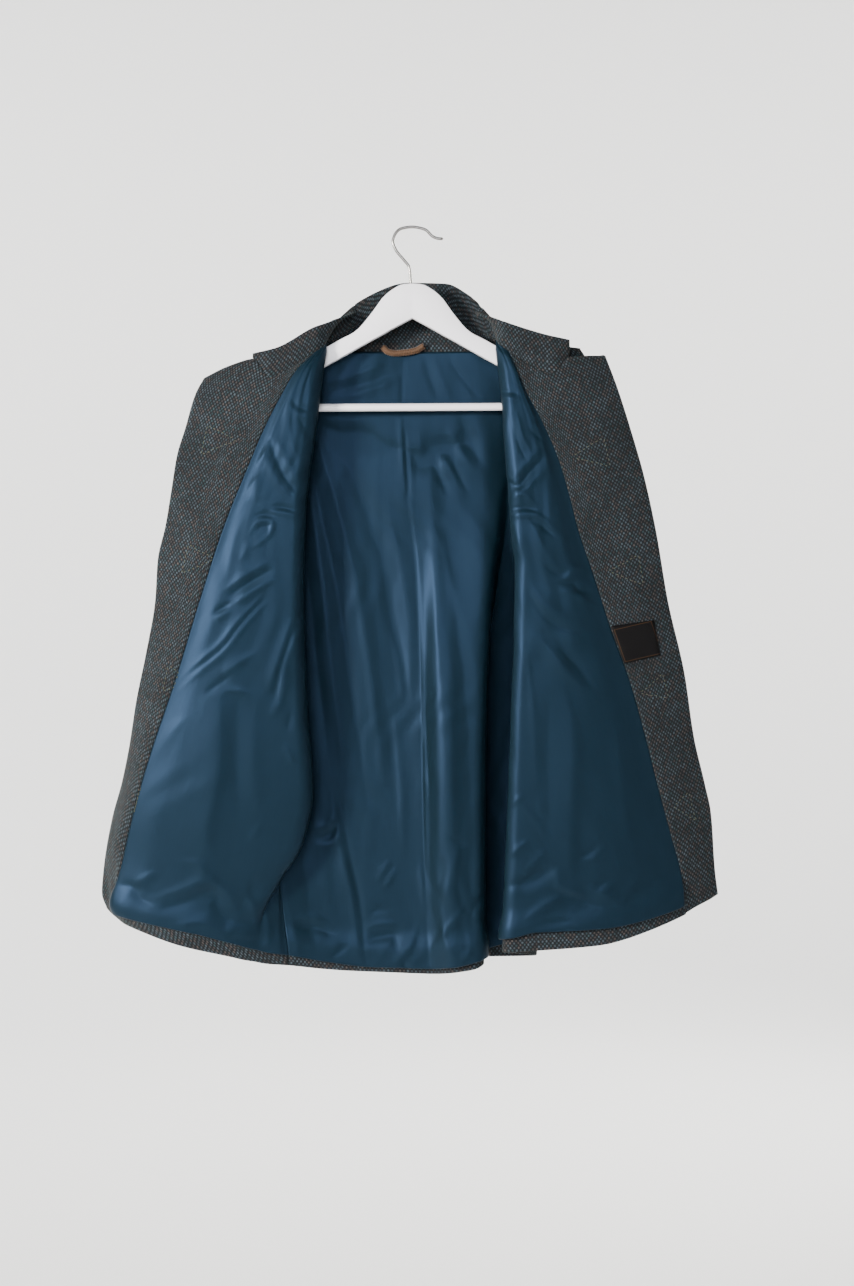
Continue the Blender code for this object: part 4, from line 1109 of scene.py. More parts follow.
    def lining_lift(self, points: Array, across: Array, down: Array, long: Array) -> Array:
        """Says how far the lining stands off the tweed.

        Args:
            points: the panel's surface behind it.
            across: metres across.
            down: shares down.
            long: how long each column of the panel is.

        Returns:
            Metres, more where it creases and where it laps over the turned-up hem.
        """
        above_hem = (1 - down) * long
        lap = ease((self.turn_up + 0.022 - above_hem) / 0.03)
        puff = ease((0.05 - above_hem) / 0.028)
        seen = as_seen(points)
        rise = sum((crease.rise(seen) for crease in self.creases), np.zeros(down.shape))
        rise = rise * self.softened + ripples(across, down * long, self.seed, self.waves)
        sides = ease((across - across[0, 0]) / 0.014) * ease((across[0, -1] - across) / 0.03)
        top = ease(down / 0.02)
        level = (rise + self.stand_off) * sides * top
        return self.closest + soft_floor(level) + lap * self.over_hem + puff * self.puffed

    def facing(self) -> Sewn | None:
        """Makes the facing inside a front's edge, if it has one.

        Returns:
            Its face.
        """
        if self.facing_from is None:
            return None
        across = self.panel.columns(self.facing_from, self.edges[1], 0.004)
        net = self.panel.net(across, 0, 1, self.rows)
        points = self.panel.surface(*net)
        inwards = -self.outside(points)
        seam = ease((across - across[0]) / 0.004)
        face = points + inwards * (0.0013 - 0.0006 * (1 - seam))[:, None]
        name = self.name.replace("front", "facing")
        made = cloth("tweed_" + name, face, TWEED, "wool tweed", len(across) - 1)
        declare(made, face, [name])
        return Sewn(face + inwards * TWEED / 2, inwards)


@dataclass
class Collar:
    """The collar: it stands at the back neck, falls behind, and lies open over the fronts."""

    thickness: float = 0.0030
    lift: float = -0.0004
    notch_lift: tuple[float, float] = (0.0012, 0.0045)
    rise: int = 34
    step: float = 0.004

    def build(self, panels: dict[str, Panel]) -> None:
        """Makes it along the panels' top edges.

        Args:
            panels: the panels by name.
        """
        feet, stations = [], []
        for index, (name, first, last) in enumerate(
                (("front_left", "notch", "fold"), ("back", "neck_left", "bulge_edge"),
                 ("front_right", "fold", "notch"))):
            panel = panels[name]
            forward = panel.at_rib[first] < panel.at_rib[last]
            pair = (first, last) if forward else (last, first)
            across = panel.columns(*pair, self.step)
            across = across if forward else across[::-1]
            points = panel.surface(across, np.zeros_like(across))
            for place, point in zip(across, points):
                rib = next((r for r, at in panel.at_rib.items() if abs(at - place) < 1e-9), "")
                if (name, rib) in COLLAR:
                    stations.append(len(feet))
                lift = self.lift
                if rib == "notch":
                    lift = self.notch_lift[0 if index == 0 else 1]
                feet.append(point + np.array([0, 0, lift]))
        feet = np.array(feet)
        along = gone_along(feet)
        lines = [feet]
        for which in (0, 1):
            known = true_place([row[which] for row in COLLAR.values()])
            lines.append(smooth(along[stations], known, along))
        up = np.linspace(0, 1, self.rise)[:, None] * np.ones((1, len(along)))
        spread = np.array(lines)[:, None] * np.ones((1, self.rise, 1, 1))
        grid = smooth((0, MIDDLE, 1), spread, up)
        made = cloth("tweed_collar", grid, self.thickness, "wool tweed", None)
        declare(made, grid, ["collar"])


@dataclass
class Sleeve:
    """A sleeve that hangs empty from its armhole. side is -1 on the left."""

    name: str
    side: int
    front: Panel
    back: Panel
    gap: float = -0.0012
    flatness: float = 0.72
    around: int = 72
    rings: int = 150
    creases: tuple[tuple[float, float, float, float, float, float], ...] = ()

    def build(self) -> None:
        """Makes the tube, its creases and its turned cuff."""
        turns = np.linspace(0, 2 * math.pi, self.around, endpoint=False)
        rows = [self.armhole(turns)]
        along = (1 - np.cos(turns)) / 2
        round_it = np.sin(turns)
        for outer, inner, half in SLEEVE:
            (a, b) = (true_place(((z, x * self.side, y),))[0] for z, x, y in (outer, inner))
            points = a + (b - a) * along[:, None]
            points[:, 1] += np.sign(round_it) * np.abs(round_it) ** self.flatness * half * MM
            rows.append(points)
        table = np.array(rows)
        grid = np.stack([through(table[:, i], self.rings) for i in range(self.around)], axis=1)
        out = grid_normals(grid, closed=True) * -self.side
        grid = grid + out * (self.crease_lift(turns)[..., None] + TWEED / 2)
        inner = grid[::-1][:9] - out[::-1][:9] * 0.0022
        edge = grid[-1:] - out[-1:] * 0.0011 + unit(grid[-1:] - grid[-2:-1]) * 0.0012
        whole = np.concatenate([grid, edge, inner])
        made = cloth("tweed_" + self.name, whole, TWEED, "wool tweed", None, closed=True)
        declare(made, whole, [self.name + "_upper", self.name + "_under"],
                closed=True)

    def armhole(self, turns: Array) -> Array:
        """Gives the ring of points round the armhole.

        Args:
            turns: how far round each one is, in radians.

        Returns:
            Points.
        """
        ring = []
        for turn in turns:
            on_back = turn <= math.pi
            panel = self.back if on_back else self.front
            place = self.back.knots[-1] if (on_back and self.side > 0) else 0.0
            across = np.array([[place]])
            down = panel.share_at(across, UNDERARM) * (1 - math.cos(turn)) / 2
            point = panel.surface(across, down)[0, 0]
            normal = -panel.normals(across, down)[0, 0]
            ring.append(point + normal * TWEED + np.array([self.side * self.gap, 0, 0]))
        return np.array(ring)

    def crease_lift(self, turns: Array) -> Array:
        """Says how far the creases lift the cloth.

        Args:
            turns: how far round each column is, in radians.

        Returns:
            Metres, for each ring and column.
        """
        share = np.linspace(0, 1, self.rings)[:, None]
        lift = np.zeros((self.rings, len(turns)))
        for depth, width, turn, top, new_turn, foot in self.creases:
            run = np.clip((share - top) / (foot - top), 0, 1)
            middle = turn + (new_turn - turn) * run
            off = (np.degrees(turns) - middle + 180) % 360 - 180
            lift += depth * MM * np.exp(-(off / width) ** 2) * np.sin(math.pi * run) ** 0.8
        return lift * ease(share / 0.05) * ease((1 - share) / 0.04 + 0.3)


@dataclass
class NeckFacing:
    """The tweed piece inside the back neck, above the lining."""

    back: Panel
    foot: float = -0.159

    def build(self) -> None:
        """Makes it."""
        across = self.back.columns("neck_left", "bulge_edge", 0.004)
        end = self.back.share_at(across, self.foot)
        net = self.back.net(across, 0, end, 14)
        points = self.back.surface(*net)
        inwards = grid_normals(points) * self.back.inside
        grid = points + inwards * 0.0016
        made = cloth("tweed_neck_facing", grid, TWEED, "wool tweed", 0)
        declare(made, grid, ["neck_facing"])


@dataclass
class Label:
    """A bare woven label, sewn to the right facing."""

    corners: Line = ((258, -519), (314, -511), (322, -557), (275, -568))
    thickness: float = 0.0007

    def build(self, facing: Sewn) -> None:
        """Makes it on the facing."""
        tl, tr, br, bl = (np.array(c, float) for c in self.corners)
        rows = []
        for t in np.linspace(0, 1, 12):
            row = []
            for s in np.linspace(0, 1, 14):
                at = (tl * (1 - s) + tr * s) * (1 - t) + (bl * (1 - s) + br * s) * t
                row.append(facing.place(at[0], at[1], 0.0006))
            rows.append(row)
        grid = np.array(rows)
        made = cloth("bare_label", grid, self.thickness, "woven label", 0)
        declare(made, grid, ["label"])


@dataclass
class Hanger:
    """The hanger: a contoured board, a bar and a wire hook."""

    board_depth: float = 0.011
    bevel: float = 0.0036
    bar_radius: float = 0.005
    bar: tuple[float, float, float] = (0.3834, -0.2354, -0.2334)

    def board(self) -> None:
        """Models the board from its middle out, one side, then mirrors it."""
        deselect()
        (x0, top, foot) = BOARD[0]
        bpy.ops.mesh.primitive_plane_add(size=1, location=(0, 0, 0),
                                         rotation=(0, math.pi / 2, 0))
        made = bpy.context.object
        made.name = "board"
        made.data.name = "board"
        middle, tall = (top + foot) / 2 * MM + WIRE_RADIUS, (top - foot) * MM
        made.scale = (tall, self.board_depth, 1)
        made.location = (0, 0, middle)
        bpy.ops.object.transform_apply(location=True, rotation=True, scale=True)
        bpy.ops.object.mode_set(mode="EDIT")
        bpy.ops.mesh.select_all(action="SELECT")
        x = x0 * MM
        for side, top, foot in self.stations():
            new_middle, new_tall = (top + foot) / 2 * MM + WIRE_RADIUS, (top - foot) * MM
            bpy.ops.mesh.extrude_region_move(TRANSFORM_OT_translate={
                "value": (side * MM - x, 0, new_middle - middle)})
            bpy.ops.transform.resize(value=(1, 1, new_tall / tall),
                                     center_override=(side * MM, 0, new_middle))
            x, middle, tall = side * MM, new_middle, new_tall
        bpy.ops.object.mode_set(mode="OBJECT")
        self.drop_middle_face(made)
        mirror = made.modifiers.new("other side", "MIRROR")
        mirror.use_clip = True
        mirror.merge_threshold = 0.0001
        edges = made.modifiers.new("rounded edges", "BEVEL")
        edges.width = self.bevel
        edges.segments = 4
        edges.limit_method = "ANGLE"
        edges.angle_limit = math.radians(40)
        apply_all(made)
        bpy.ops.object.mode_set(mode="EDIT")
        bpy.ops.mesh.select_all(action="SELECT")
        bpy.ops.mesh.normals_make_consistent(inside=False)
        bpy.ops.object.mode_set(mode="OBJECT")
        bpy.ops.object.shade_smooth_by_angle(angle=math.radians(40))
        finish(made, "lacquered beech", Slot.LACQUER, "hanger_board")

    @staticmethod
    def stations() -> list[tuple[float, float, float]]:
        """Fills in the board's table with more stations along its arm.

        Returns:
            Side, top and foot, in millimetres.
        """
        arm = np.array(BOARD[:10], float)
        at = [x for x in np.arange(4, 192, 6.0)] + [192.0]
        curve = smooth(arm[:, 0], arm, at)
        return [tuple(row) for row in curve] + [tuple(map(float, row)) for row in BOARD[10:]]

    @staticmethod
    def drop_middle_face(made: bpy.types.Object) -> None:
        """Deletes the face at the board's middle, where the two sides meet."""
        pick_up(made)
        for polygon in made.data.polygons:
            polygon.select = abs(polygon.center.x) < 1e-5
        bpy.ops.object.mode_set(mode="EDIT")
        bpy.ops.mesh.select_mode(type="FACE")
        bpy.ops.mesh.delete(type="ONLY_FACE")
        bpy.ops.object.mode_set(mode="OBJECT")

    def rod(self) -> None:
        """Models the bar between the board's ends."""
        deselect()
        long, left, right = self.bar
        bpy.ops.mesh.primitive_cylinder_add(
            vertices=40, radius=self.bar_radius, depth=long,
            location=(0, 0, (left + right) / 2 + WIRE_RADIUS),
            rotation=(0, math.pi / 2 - math.atan2(right - left, long), 0))
        made = bpy.context.object
        made.name = "bar"
        made.data.name = "bar"
        bpy.ops.object.transform_apply(location=True, rotation=True, scale=True)
        bpy.ops.object.shade_smooth_by_angle(angle=math.radians(40))
        finish(made, "lacquered beech", Slot.LACQUER, "hanger_bar")

    def hook(self) -> None:
        """Models the wire hook along its route."""
        route = np.array([(x * MM, 0, z * MM + WIRE_RADIUS) for z, x in HOOK])
        gone = gone_along(route)
        points = smooth(gone, route, np.linspace(0, gone[-1], 90))
        made = wire("wire_hook", points, WIRE_RADIUS, 8, round_end=True)
        finish(made, "nickelled wire", Slot.STEEL, "hanger_hook")

    def build(self) -> None:
        """Makes the whole hanger."""
        self.board()
        self.rod()
        self.hook()


def wire(name: str, points: Array, radius: float, sides: int,
         round_end: bool = False) -> bpy.types.Object:
    """Draws a path, gives it a round section and makes it a mesh.

    Args:
        name: the object's name.
        points: the path.
        radius: in metres.
        sides: the bevel's resolution.
        round_end: whether it narrows to a round tip at its end.

    Returns:
        The mesh object.
    """
    deselect()
    bpy.ops.curve.primitive_nurbs_path_add()
    made = bpy.context.object
    made.name = name
    curve = made.data
    curve.splines.clear()
    spline = curve.splines.new("POLY")
    spline.points.add(len(points) - 1)
    for index, (point, place) in enumerate(zip(spline.points, points)):
        point.co = (*place, 1)
        left = np.linalg.norm(points[-1] - place)
        if round_end and left < radius:
            point.radius = max(0.05, math.sqrt(max(0.0, 1 - (1 - left / radius) ** 2)))
    curve.bevel_depth = radius
    curve.bevel_resolution = sides
    curve.use_fill_caps = True
    bpy.ops.object.convert(target="MESH")
    made = bpy.context.object
    made.name = name
    made.data.name = name
    made.data.shade_smooth()
    return made


@dataclass
class HangingLoop:
    """The braided loop inside the back neck: three strands that cross over and under."""

    strand: float = 0.0018
    swing: float = 0.0026
    lobes: float = 7.5

    def build(self) -> None:
        """Models the strands and joins them."""
        route = true_place(LOOP)
        t = np.linspace(0, 1, 160)
        middle = through(route, len(t))
        way = unit(np.gradient(middle, axis=0))
        up = unit(np.cross(way, np.array([0, 1.0, 0])))
        strands = []
        for number in range(3):
            phase = 2 * math.pi * (t * self.lobes + number / 3)
            over = np.sin(phase)[:, None] * up * self.swing
            out = np.cos(2 * phase)[:, None] * np.array([0, -1.0, 0]) * self.swing * 0.45
            strands.append(wire(f"loop_strand_{number}", middle + over + out, self.strand, 3))
        finish(join(strands, "braided_loop"), "braided cord", Slot.BRAID, "hanging_loop")


def sew(name: str, runs: Sequence[Array], out: Array, long: float, gap: float, radius: float,
        material: str, slot: Slot) -> None:
    """Sews short stitches along paths, as one piece.

    Args:
        name: the piece's name.
        runs: the paths, each a list of points.
        out: the way off the cloth.
        long: one stitch, in metres.
        gap: between two stitches.
        radius: of the thread.
        material: the thread's material.
        slot: the record's slot; not used.
    """
    turns = np.radians(np.arange(0, 360, 60))
    rings = np.array(((0, 0.35, -0.9), (0.18, 1, 0), (0.82, 1, 0), (1, 0.35, -0.9)))
    vertices, faces = [], []
    for run in runs:
        gone = gone_along(run)
        for start in np.arange(gap / 2, gone[-1] - long * 0.6, long + gap):
            a, b = (np.array([np.interp(at, gone, run[:, k]) for k in range(3)])
                    for at in (start, start + long))
            way = unit(b - a)
            side = unit(np.cross(way, out))
            up = np.cross(side, way)
            first = len(vertices)
            for share, wide, dip in rings:
                for turn in turns:
                    vertices.append(a + (b - a) * share + radius * (
                        side * math.cos(turn) * wide + up * (math.sin(turn) * wide + dip)))
            for ring in range(3):
                for n in range(6):
                    here, there = first + ring * 6, first + ring * 6 + 6
                    faces.append((here + n, here + (n + 1) % 6, there + (n + 1) % 6, there + n))
            faces.append(tuple(range(first + 5, first - 1, -1)))
            faces.append(tuple(range(first + 18, first + 24)))
    mesh = bpy.data.meshes.new(name)
    mesh.from_pydata([tuple(v) for v in vertices], [], faces)
    mesh.materials.append(bpy.data.materials[material])
    mesh.shade_smooth()
    made = bpy.data.objects.new(name, mesh)
    bpy.context.scene.collection.objects.link(made)
    ride(made, slot)


# The thread triangles inside the facings, where the fastenings are sewn through: two corners
# near the front edge, then the inner corner. Side and height, as seen.
TIES_RIGHT: tuple[Line, ...] = (
    ((249, -273), (257, -311), (207, -299)), ((294, -426), (300, -465), (255, -448)),
    ((326, -580), (333, -613), (297, -606)), ((359, -734), (369, -772), (340, -754)))
TIES_LEFT: tuple[Line, ...] = (
    ((-266, -257), (-275, -296), (-229, -277)), ((-291, -413), (-300, -450), (-256, -432)),
    ((-317, -570), (-325, -604), (-285, -590)), ((-347, -726), (-352, -762), (-322, -747)))


def tie(name: str, face: Sewn, corners: Sequence[Line]) -> None:
    """Sews thread triangles on a facing, by hand and so unevenly."""
    rng = np.random.default_rng(7)
    runs = []
    for triangle in corners:
        loop = [np.array(c, float) for c in triangle]
        for a, b in ((loop[0], loop[1]), (loop[0], loop[2]), (loop[1], loop[2])):
            shares = np.linspace(0.03, 0.97, 8)[:, None]
            path = a + (b - a) * shares + rng.normal(0, 0.5, (8, 2))
            runs.append(np.array([face.place(*point, 0.0001) for point in path]))
    sew(name, runs, np.array([0, -1.0, 0]), 0.0034, 0.0030, 0.00042, "olive thread",
        Slot.TWEED)


@dataclass
class Fastening:
    """One row of the front: a leather patch on each outer face, with a cord loop on the left
    and a horn toggle on its cord on the right. Sizes in metres."""

    row: int
    height: float
    base: float = 0.038
    tip: float = 0.006
    reach: float = 0.045
    inset: float = 0.036
    thick: float = 0.0014
    strand: float = 0.00095
    toggle: float = 0.042
    drop: float = 0.045

    LOOP: Line = ((-0.004, -0.006), (0.0045, -0.004), (0.0095, -0.003), (0.0130, 0.012),
                  (0.0135, 0.050), (0.0090, 0.058), (0.0047, 0.050), (0.0045, 0.012),
                  (-0.004, 0.009))
    HOLD: Line = ((-0.004, -0.004), (0.0030, -0.003), (0.0060, -0.001), (0.0080, 0.010),
                  (0.0080, 0.0385), (0.0080, 0.045))
    OUTLINE: Line = ((-1, 1.2), (-0.97, 2.4), (-0.9, 3.4), (-0.7, 4.5), (-0.4, 5.4),
                     (-0.12, 5.8), (-0.07, 4.7), (0.07, 4.7), (0.12, 5.8), (0.4, 5.4),
                     (0.7, 4.5), (0.9, 3.4), (0.97, 2.4), (1, 1.2))

    def patch(self, front: Panel, side: str) -> None:
        """Models the patch and the stitches round it.

        Args:
            front: the front's panel.
            side: left or right.
        """
        edge = front.knots[-1] - self.inset

        def spot(taper: Array, down: Array, lift: Array | float) -> Array:
            """Finds a place on the patch."""
            tall = self.base * (1 - taper) + self.tip * taper
            return front.outer(edge - self.reach * taper, self.height + tall * (0.5 - down),
                               lift)

        taper, down = np.meshgrid(np.linspace(1, 0, 16), np.linspace(0, 1, 14))
        rim = np.minimum(np.minimum(taper, 1 - taper) * 1.3, np.minimum(down, 1 - down)) * 9
        crown = 0.0004 + 0.0006 * ease(rim)
        grid = spot(taper, down, crown + self.thick / 2)
        made = cloth(f"leather_{side}_{self.row}", grid, self.thick, "waxed leather")
        ride(made, Slot.LEATHER, f"patch_{side}_{self.row}")
        t = np.linspace(0.07, 0.93, 16)
        low, high = np.full(16, 0.07), np.full(16, 0.93)
        runs = [spot(low, t, 0.0016), spot(t, low, 0.0016), spot(t, high, 0.0016)]
        out = -front.normals(np.array([edge - self.reach / 2]),
                             front.share_at(np.array([edge]), self.height))[0]
        sew(f"stitches_{side}_{self.row}", runs, out, 0.0026,
            0.0012, 0.0003, "dark thread", Slot.LEATHER)

    def cord(self, front: Panel, route: Line, name: str, node: str) -> None:
        """Twists a cord of two strands along a route.

        Args:
            front: the front's panel.
            route: metres on from the patch's base, and down.
            name: the piece's name.
            node: the node that it stands for.
        """
        on, down = np.array(route).T
        lift = 2.1 * self.strand
        points = front.outer(front.knots[-1] - self.inset + on, self.height - down, lift)
        middle = through(points, 120)
        way = unit(np.gradient(middle, axis=0))
        up = unit(np.cross(way, np.array([0.3, 1.0, 0.2])))
        over = np.cross(way, up)
        gone = gone_along(middle)
        strands = []
        for number in range(2):
            turn = (gone / 0.0062 + number / 2)[:, None] * 2 * math.pi
            strands.append(wire(f"{name}_{number}", middle + self.strand * 0.8 * (
                up * np.cos(turn) + over * np.sin(turn)), self.strand, 2))
        finish(join(strands, name), "cotton cord", Slot.CORD, node)

    def horn(self, front: Panel) -> None:
        """Turns the toggle, with a groove for its cord."""
        middle = front.knots[-1] - self.inset + 0.008
        reach = self.toggle / 2
        lift = 0.0006 + max(radius for _, radius in self.OUTLINE) * MM
        ends = front.outer(np.array([middle - reach, middle + reach]),
                           self.height - self.drop, lift)
        outline = through(np.array(self.OUTLINE), 40)
        deselect()
        bpy.ops.mesh.primitive_circle_add(vertices=28, radius=outline[0][1] * MM,
                                          fill_type="NGON", location=(0, 0, -reach))
        made = bpy.context.object
        made.name = f"horn_toggle_{self.row}"
        made.data.name = made.name
        bpy.ops.object.transform_apply(location=True, rotation=True, scale=True)
        bpy.ops.object.mode_set(mode="EDIT")
        bpy.ops.mesh.select_all(action="SELECT")
        for (along, radius), (new_along, new_radius) in zip(outline, outline[1:]):
            bpy.ops.mesh.extrude_region_move(TRANSFORM_OT_translate={
                "value": (0, 0, (new_along - along) * reach)})
            share = new_radius / radius
            bpy.ops.transform.resize(value=(share, share, 1),
                                     center_override=(0, 0, new_along * reach))
        bpy.ops.mesh.select_all(action="SELECT")
        bpy.ops.mesh.normals_make_consistent(inside=False)
        bpy.ops.object.mode_set(mode="OBJECT")
        made.rotation_euler = Vector(ends[1] - ends[0]).to_track_quat("Z", "Y").to_euler()
        made.location = ends.mean(axis=0)
        bpy.ops.object.transform_apply(location=True, rotation=True, scale=True)
        bpy.ops.object.shade_smooth_by_angle(angle=math.radians(50))
        finish(made, "polished horn", Slot.HORN, f"toggle_{self.row}")

    def build(self, left: Panel, right: Panel) -> None:
        """Makes the whole row."""
        self.patch(left, "left")
        self.patch(right, "right")
        self.cord(left, self.LOOP, f"cord_loop_{self.row}", f"loop_{self.row}")
        self.cord(right, self.HOLD, f"cord_hold_{self.row}", f"toggle_cord_{self.row}")
        self.horn(right)


# ---------------------------------------------------------------- finishes


def linear(hex_colour: str) -> tuple[float, float, float, float]:
    """Turns an sRGB hex colour to linear RGBA."""
    parts = [int(hex_colour[i:i + 2], 16) / 255 for i in (1, 3, 5)]
    r, g, b = (p / 12.92 if p <= 0.04045 else ((p + 0.055) / 1.055) ** 2.4 for p in parts)
    return r, g, b, 1.0


class Maker:
    """Builds one material from shader nodes. at says where each point lies, in metres."""

    def __init__(self, name: str, places: str = "Object") -> None:
        """Starts the material.

        Args:
            name: what the material is.
            places: UV for cloth laid out flat, or Object.
        """
        made = bpy.data.materials.new(name)
        made.use_nodes = True
        self.tree = made.node_tree
        self.shader = self.tree.nodes["Principled BSDF"]
        self.at = self.add("TexCoord").outputs[places]

    def add(self, kind: str, inputs: dict | None = None, **settings: object) -> bpy.types.Node:
        """Adds a node.

        Args:
            kind: the node's type, without ShaderNode in front.
            inputs: what each socket gets: another node's output, or a value.
            settings: the node's own properties.

        Returns:
            The node.
        """
        made = self.tree.nodes.new("ShaderNode" + kind)
        for name, value in settings.items():
            setattr(made, name, value)
        for name, value in (inputs or {}).items():
            self.give(made.inputs[name], value)
        return made

    def give(self, socket: bpy.types.NodeSocket, value: object) -> None:
        """Links a socket to another node's output, or sets its value."""
        if isinstance(value, bpy.types.NodeSocket):
            self.tree.links.new(value, socket)
        else:
            socket.default_value = value

    def settle(self, **values: object) -> None:
        """Sets the shader's own sockets, with _ for a space in their names."""
        for name, value in values.items():
            self.give(self.shader.inputs[name.replace("_", " ")], value)

    def sum(self, operation: str, *values: object) -> bpy.types.NodeSocket:
        """Works out a number."""
        return self.add("Math", dict(enumerate(values)), operation=operation).outputs[0]

    def vector(self, operation: str, first: object, second: object) -> bpy.types.NodeSocket:
        """Works out a vector."""
        other = "Scale" if operation == "SCALE" else 1
        return self.add("VectorMath", {0: first, other: second}, operation=operation).outputs[0]

    def laid(self, *scale: float, **inputs: object) -> bpy.types.NodeSocket:
        """Scales the places along X, Y and Z."""
        return self.add("Mapping", {"Vector": self.at, "Scale": scale, **inputs}).outputs[0]

    def noise(self, at: bpy.types.NodeSocket, scale: float = 1.0, detail: float = 2.0,
              **inputs: object) -> bpy.types.NodeSocket:
        """Reads soft noise."""
        return self.add("TexNoise", {
            "Vector": at, "Scale": scale, "Detail": detail, **inputs}).outputs["Fac"]

    def ranged(self, value: bpy.types.NodeSocket, low: float, high: float,
               start: float = 0.0, end: float = 1.0) -> bpy.types.NodeSocket:
        """Takes what runs from start to end to low and high."""
        return self.add("MapRange", {"Value": value, "From Min": start, "From Max": end,
                                     "To Min": low, "To Max": high}).outputs[0]

    def toned(self, colour: str, value: bpy.types.NodeSocket, low: float,
              high: float) -> bpy.types.NodeSocket:
        """Makes a colour lighter and darker, from low to high."""
        return self.vector("SCALE", linear(colour)[:3], self.ranged(value, low, high))

    def mixed(self, share: object, one: object, two: object) -> bpy.types.NodeSocket:
        """Mixes two colours."""
        return self.add("Mix", {"Factor": share, "A": one, "B": two},
                        data_type="RGBA").outputs["Result"]

    def bump(self, height: object, strength: float, distance: float) -> bpy.types.NodeSocket:
        """Gives the normal of a fine relief."""
        return self.add("Bump", {
            "Height": height, "Strength": strength, "Distance": distance}).outputs[0]


@dataclass(frozen=True)
class Tweed:
    """Wool hopsack tweed: light slubbed threads that float over a charcoal ground, so the eye
    sees rows of staggered flecks, matt, with fine hairs on top."""

    fleck: tuple[float, float] = (2.6, 3.1)  # width and height of one fleck, mm
    ground: str = "#131619"
    cool: str = "#424d54"
    warm: str = "#47413f"
    teal: str = "#304246"

    def dress(self) -> None:
        """Makes the material."""
        maker = Maker("wool tweed", "UV")
        # Hand-spun threads wander by a third of a millimetre.
        wander = maker.add("TexNoise", {"Vector": maker.at, "Scale": 140.0, "Detail": 2.0})
        centred = maker.vector("SUBTRACT", wander.outputs["Color"], (0.5, 0.5, 0.5))
        moved = maker.vector("ADD", maker.at, maker.vector("SCALE", centred, 0.0022))
        across, up = (math.pi / (size * MM) for size in self.fleck)
        laid = maker.add("Mapping", {"Vector": moved, "Scale": (across, up, 1.0)}).outputs[0]
        split = maker.add("SeparateXYZ", {0: laid}).outputs
        both = maker.sum("MULTIPLY", *(maker.sum("COSINE", split[axis]) for axis in (0, 1)))
        # One random number for each fleck picks its thread and how much of it shows.
        cell = maker.vector("ADD", maker.vector("SCALE", laid, 1 / math.pi), (0.5, 0.5, 0.5))
        whole = maker.add("VectorMath", {0: cell}, operation="FLOOR").outputs[0]
        dice = maker.add("TexWhiteNoise", {"Vector": whole}, noise_dimensions="2D").outputs
        thread = maker.add("ValToRGB", {"Fac": dice["Value"]})
        ramp = thread.color_ramp
        ramp.interpolation = "CONSTANT"
        ramp.elements[0].position, ramp.elements[0].color = 0.0, linear(self.cool)
        ramp.elements[1].position, ramp.elements[1].color = 0.36, linear(self.warm)
        for position, colour in ((0.68, self.teal), (0.84, self.cool)):
            ramp.elements.new(position).color = linear(colour)
        shown = maker.add("MapRange", {"Value": both, "From Min": -0.15, "From Max": 0.75},
                          interpolation_type="SMOOTHSTEP").outputs[0]
        strength = maker.add("SeparateColor", {0: dice["Color"]}).outputs[1]
        fleck = maker.sum("MULTIPLY", shown, maker.ranged(strength, 0.35, 1.0))
        blend = maker.mixed(fleck, linear(self.ground), thread.outputs[0])
        # Hairs and slubs: about 0.7 mm, and cloudy patches about 70 mm across.
        hairs = maker.noise(maker.at, 1500.0, 3.0)
        mottle = maker.sum("MULTIPLY_ADD", hairs, 0.7, maker.noise(maker.at, 14.0, 3.0))
        light = maker.ranged(mottle, 0.72, 1.28, 0.55, 1.2)
        height = maker.sum("MULTIPLY_ADD", hairs, 0.8, fleck)
        maker.settle(Base_Color=maker.vector("SCALE", blend, light),
                     Normal=maker.bump(height, 0.7, 0.0006), Roughness=0.94, Sheen_Weight=0.1,
                     Sheen_Roughness=0.5, Sheen_Tint=linear("#a9b4ad"), IOR=1.45,
                     Specular_IOR_Level=0.25)


@dataclass(frozen=True)
class Satin:
    """Viscose lining satin: smooth and close, with a soft wide sheen along its folds, bluer in
    the light than in the shade."""

    base: str = "#0c1b22"
    shine: str = "#8cb6f6"

    def dress(self) -> None:
        """Makes the material."""
        maker = Maker("satin lining", "UV")
        # Warp threads, drawn 1.2 mm wide so that they show, run up the cloth.
        warp = maker.noise(maker.laid(830.0, 28.0, 1.0))
        # Soft crumples about 20 mm across and 60 mm long from years of folding.
        crumple = maker.noise(maker.laid(42.0, 15.0, 1.0), Roughness=0.4)
        height = maker.sum("MULTIPLY_ADD", warp, 0.05, crumple)
        maker.settle(Base_Color=maker.toned(self.base, warp, 0.85, 1.15),
                     Normal=maker.bump(height, 0.16, 0.004), Roughness=0.45, IOR=1.5,
                     Specular_Tint=linear(self.shine), Specular_IOR_Level=0.27)


@dataclass(frozen=True)
class Lacquer:
    """Beech under satin white lacquer: an even off-white with a wide soft gloss and a trace of
    grain beneath."""

    colour: str = "#f6f5fa"

    def dress(self) -> None:
        """Makes the material."""
        maker = Maker("lacquered beech")
        grain = maker.noise(maker.laid(30.0, 900.0, 900.0), detail=3.0)
        maker.settle(Base_Color=maker.toned(self.colour, grain, 0.97, 1.02),
                     Normal=maker.bump(grain, 0.15, 0.0002), Roughness=0.36, IOR=1.5,
                     Coat_Weight=0.3, Coat_Roughness=0.25)


@dataclass(frozen=True)
class Nickel:
    """Nickelled spring wire: a bright, slightly warm metal with fine drawing lines."""

    colour: str = "#84827f"

    def dress(self) -> None:
        """Makes the material."""
        maker = Maker("nickelled wire")
        drawn = maker.noise(maker.at, 700.0)
        maker.settle(Base_Color=linear(self.colour), Metallic=1.0,
                     Roughness=maker.ranged(drawn, 0.14, 0.3))


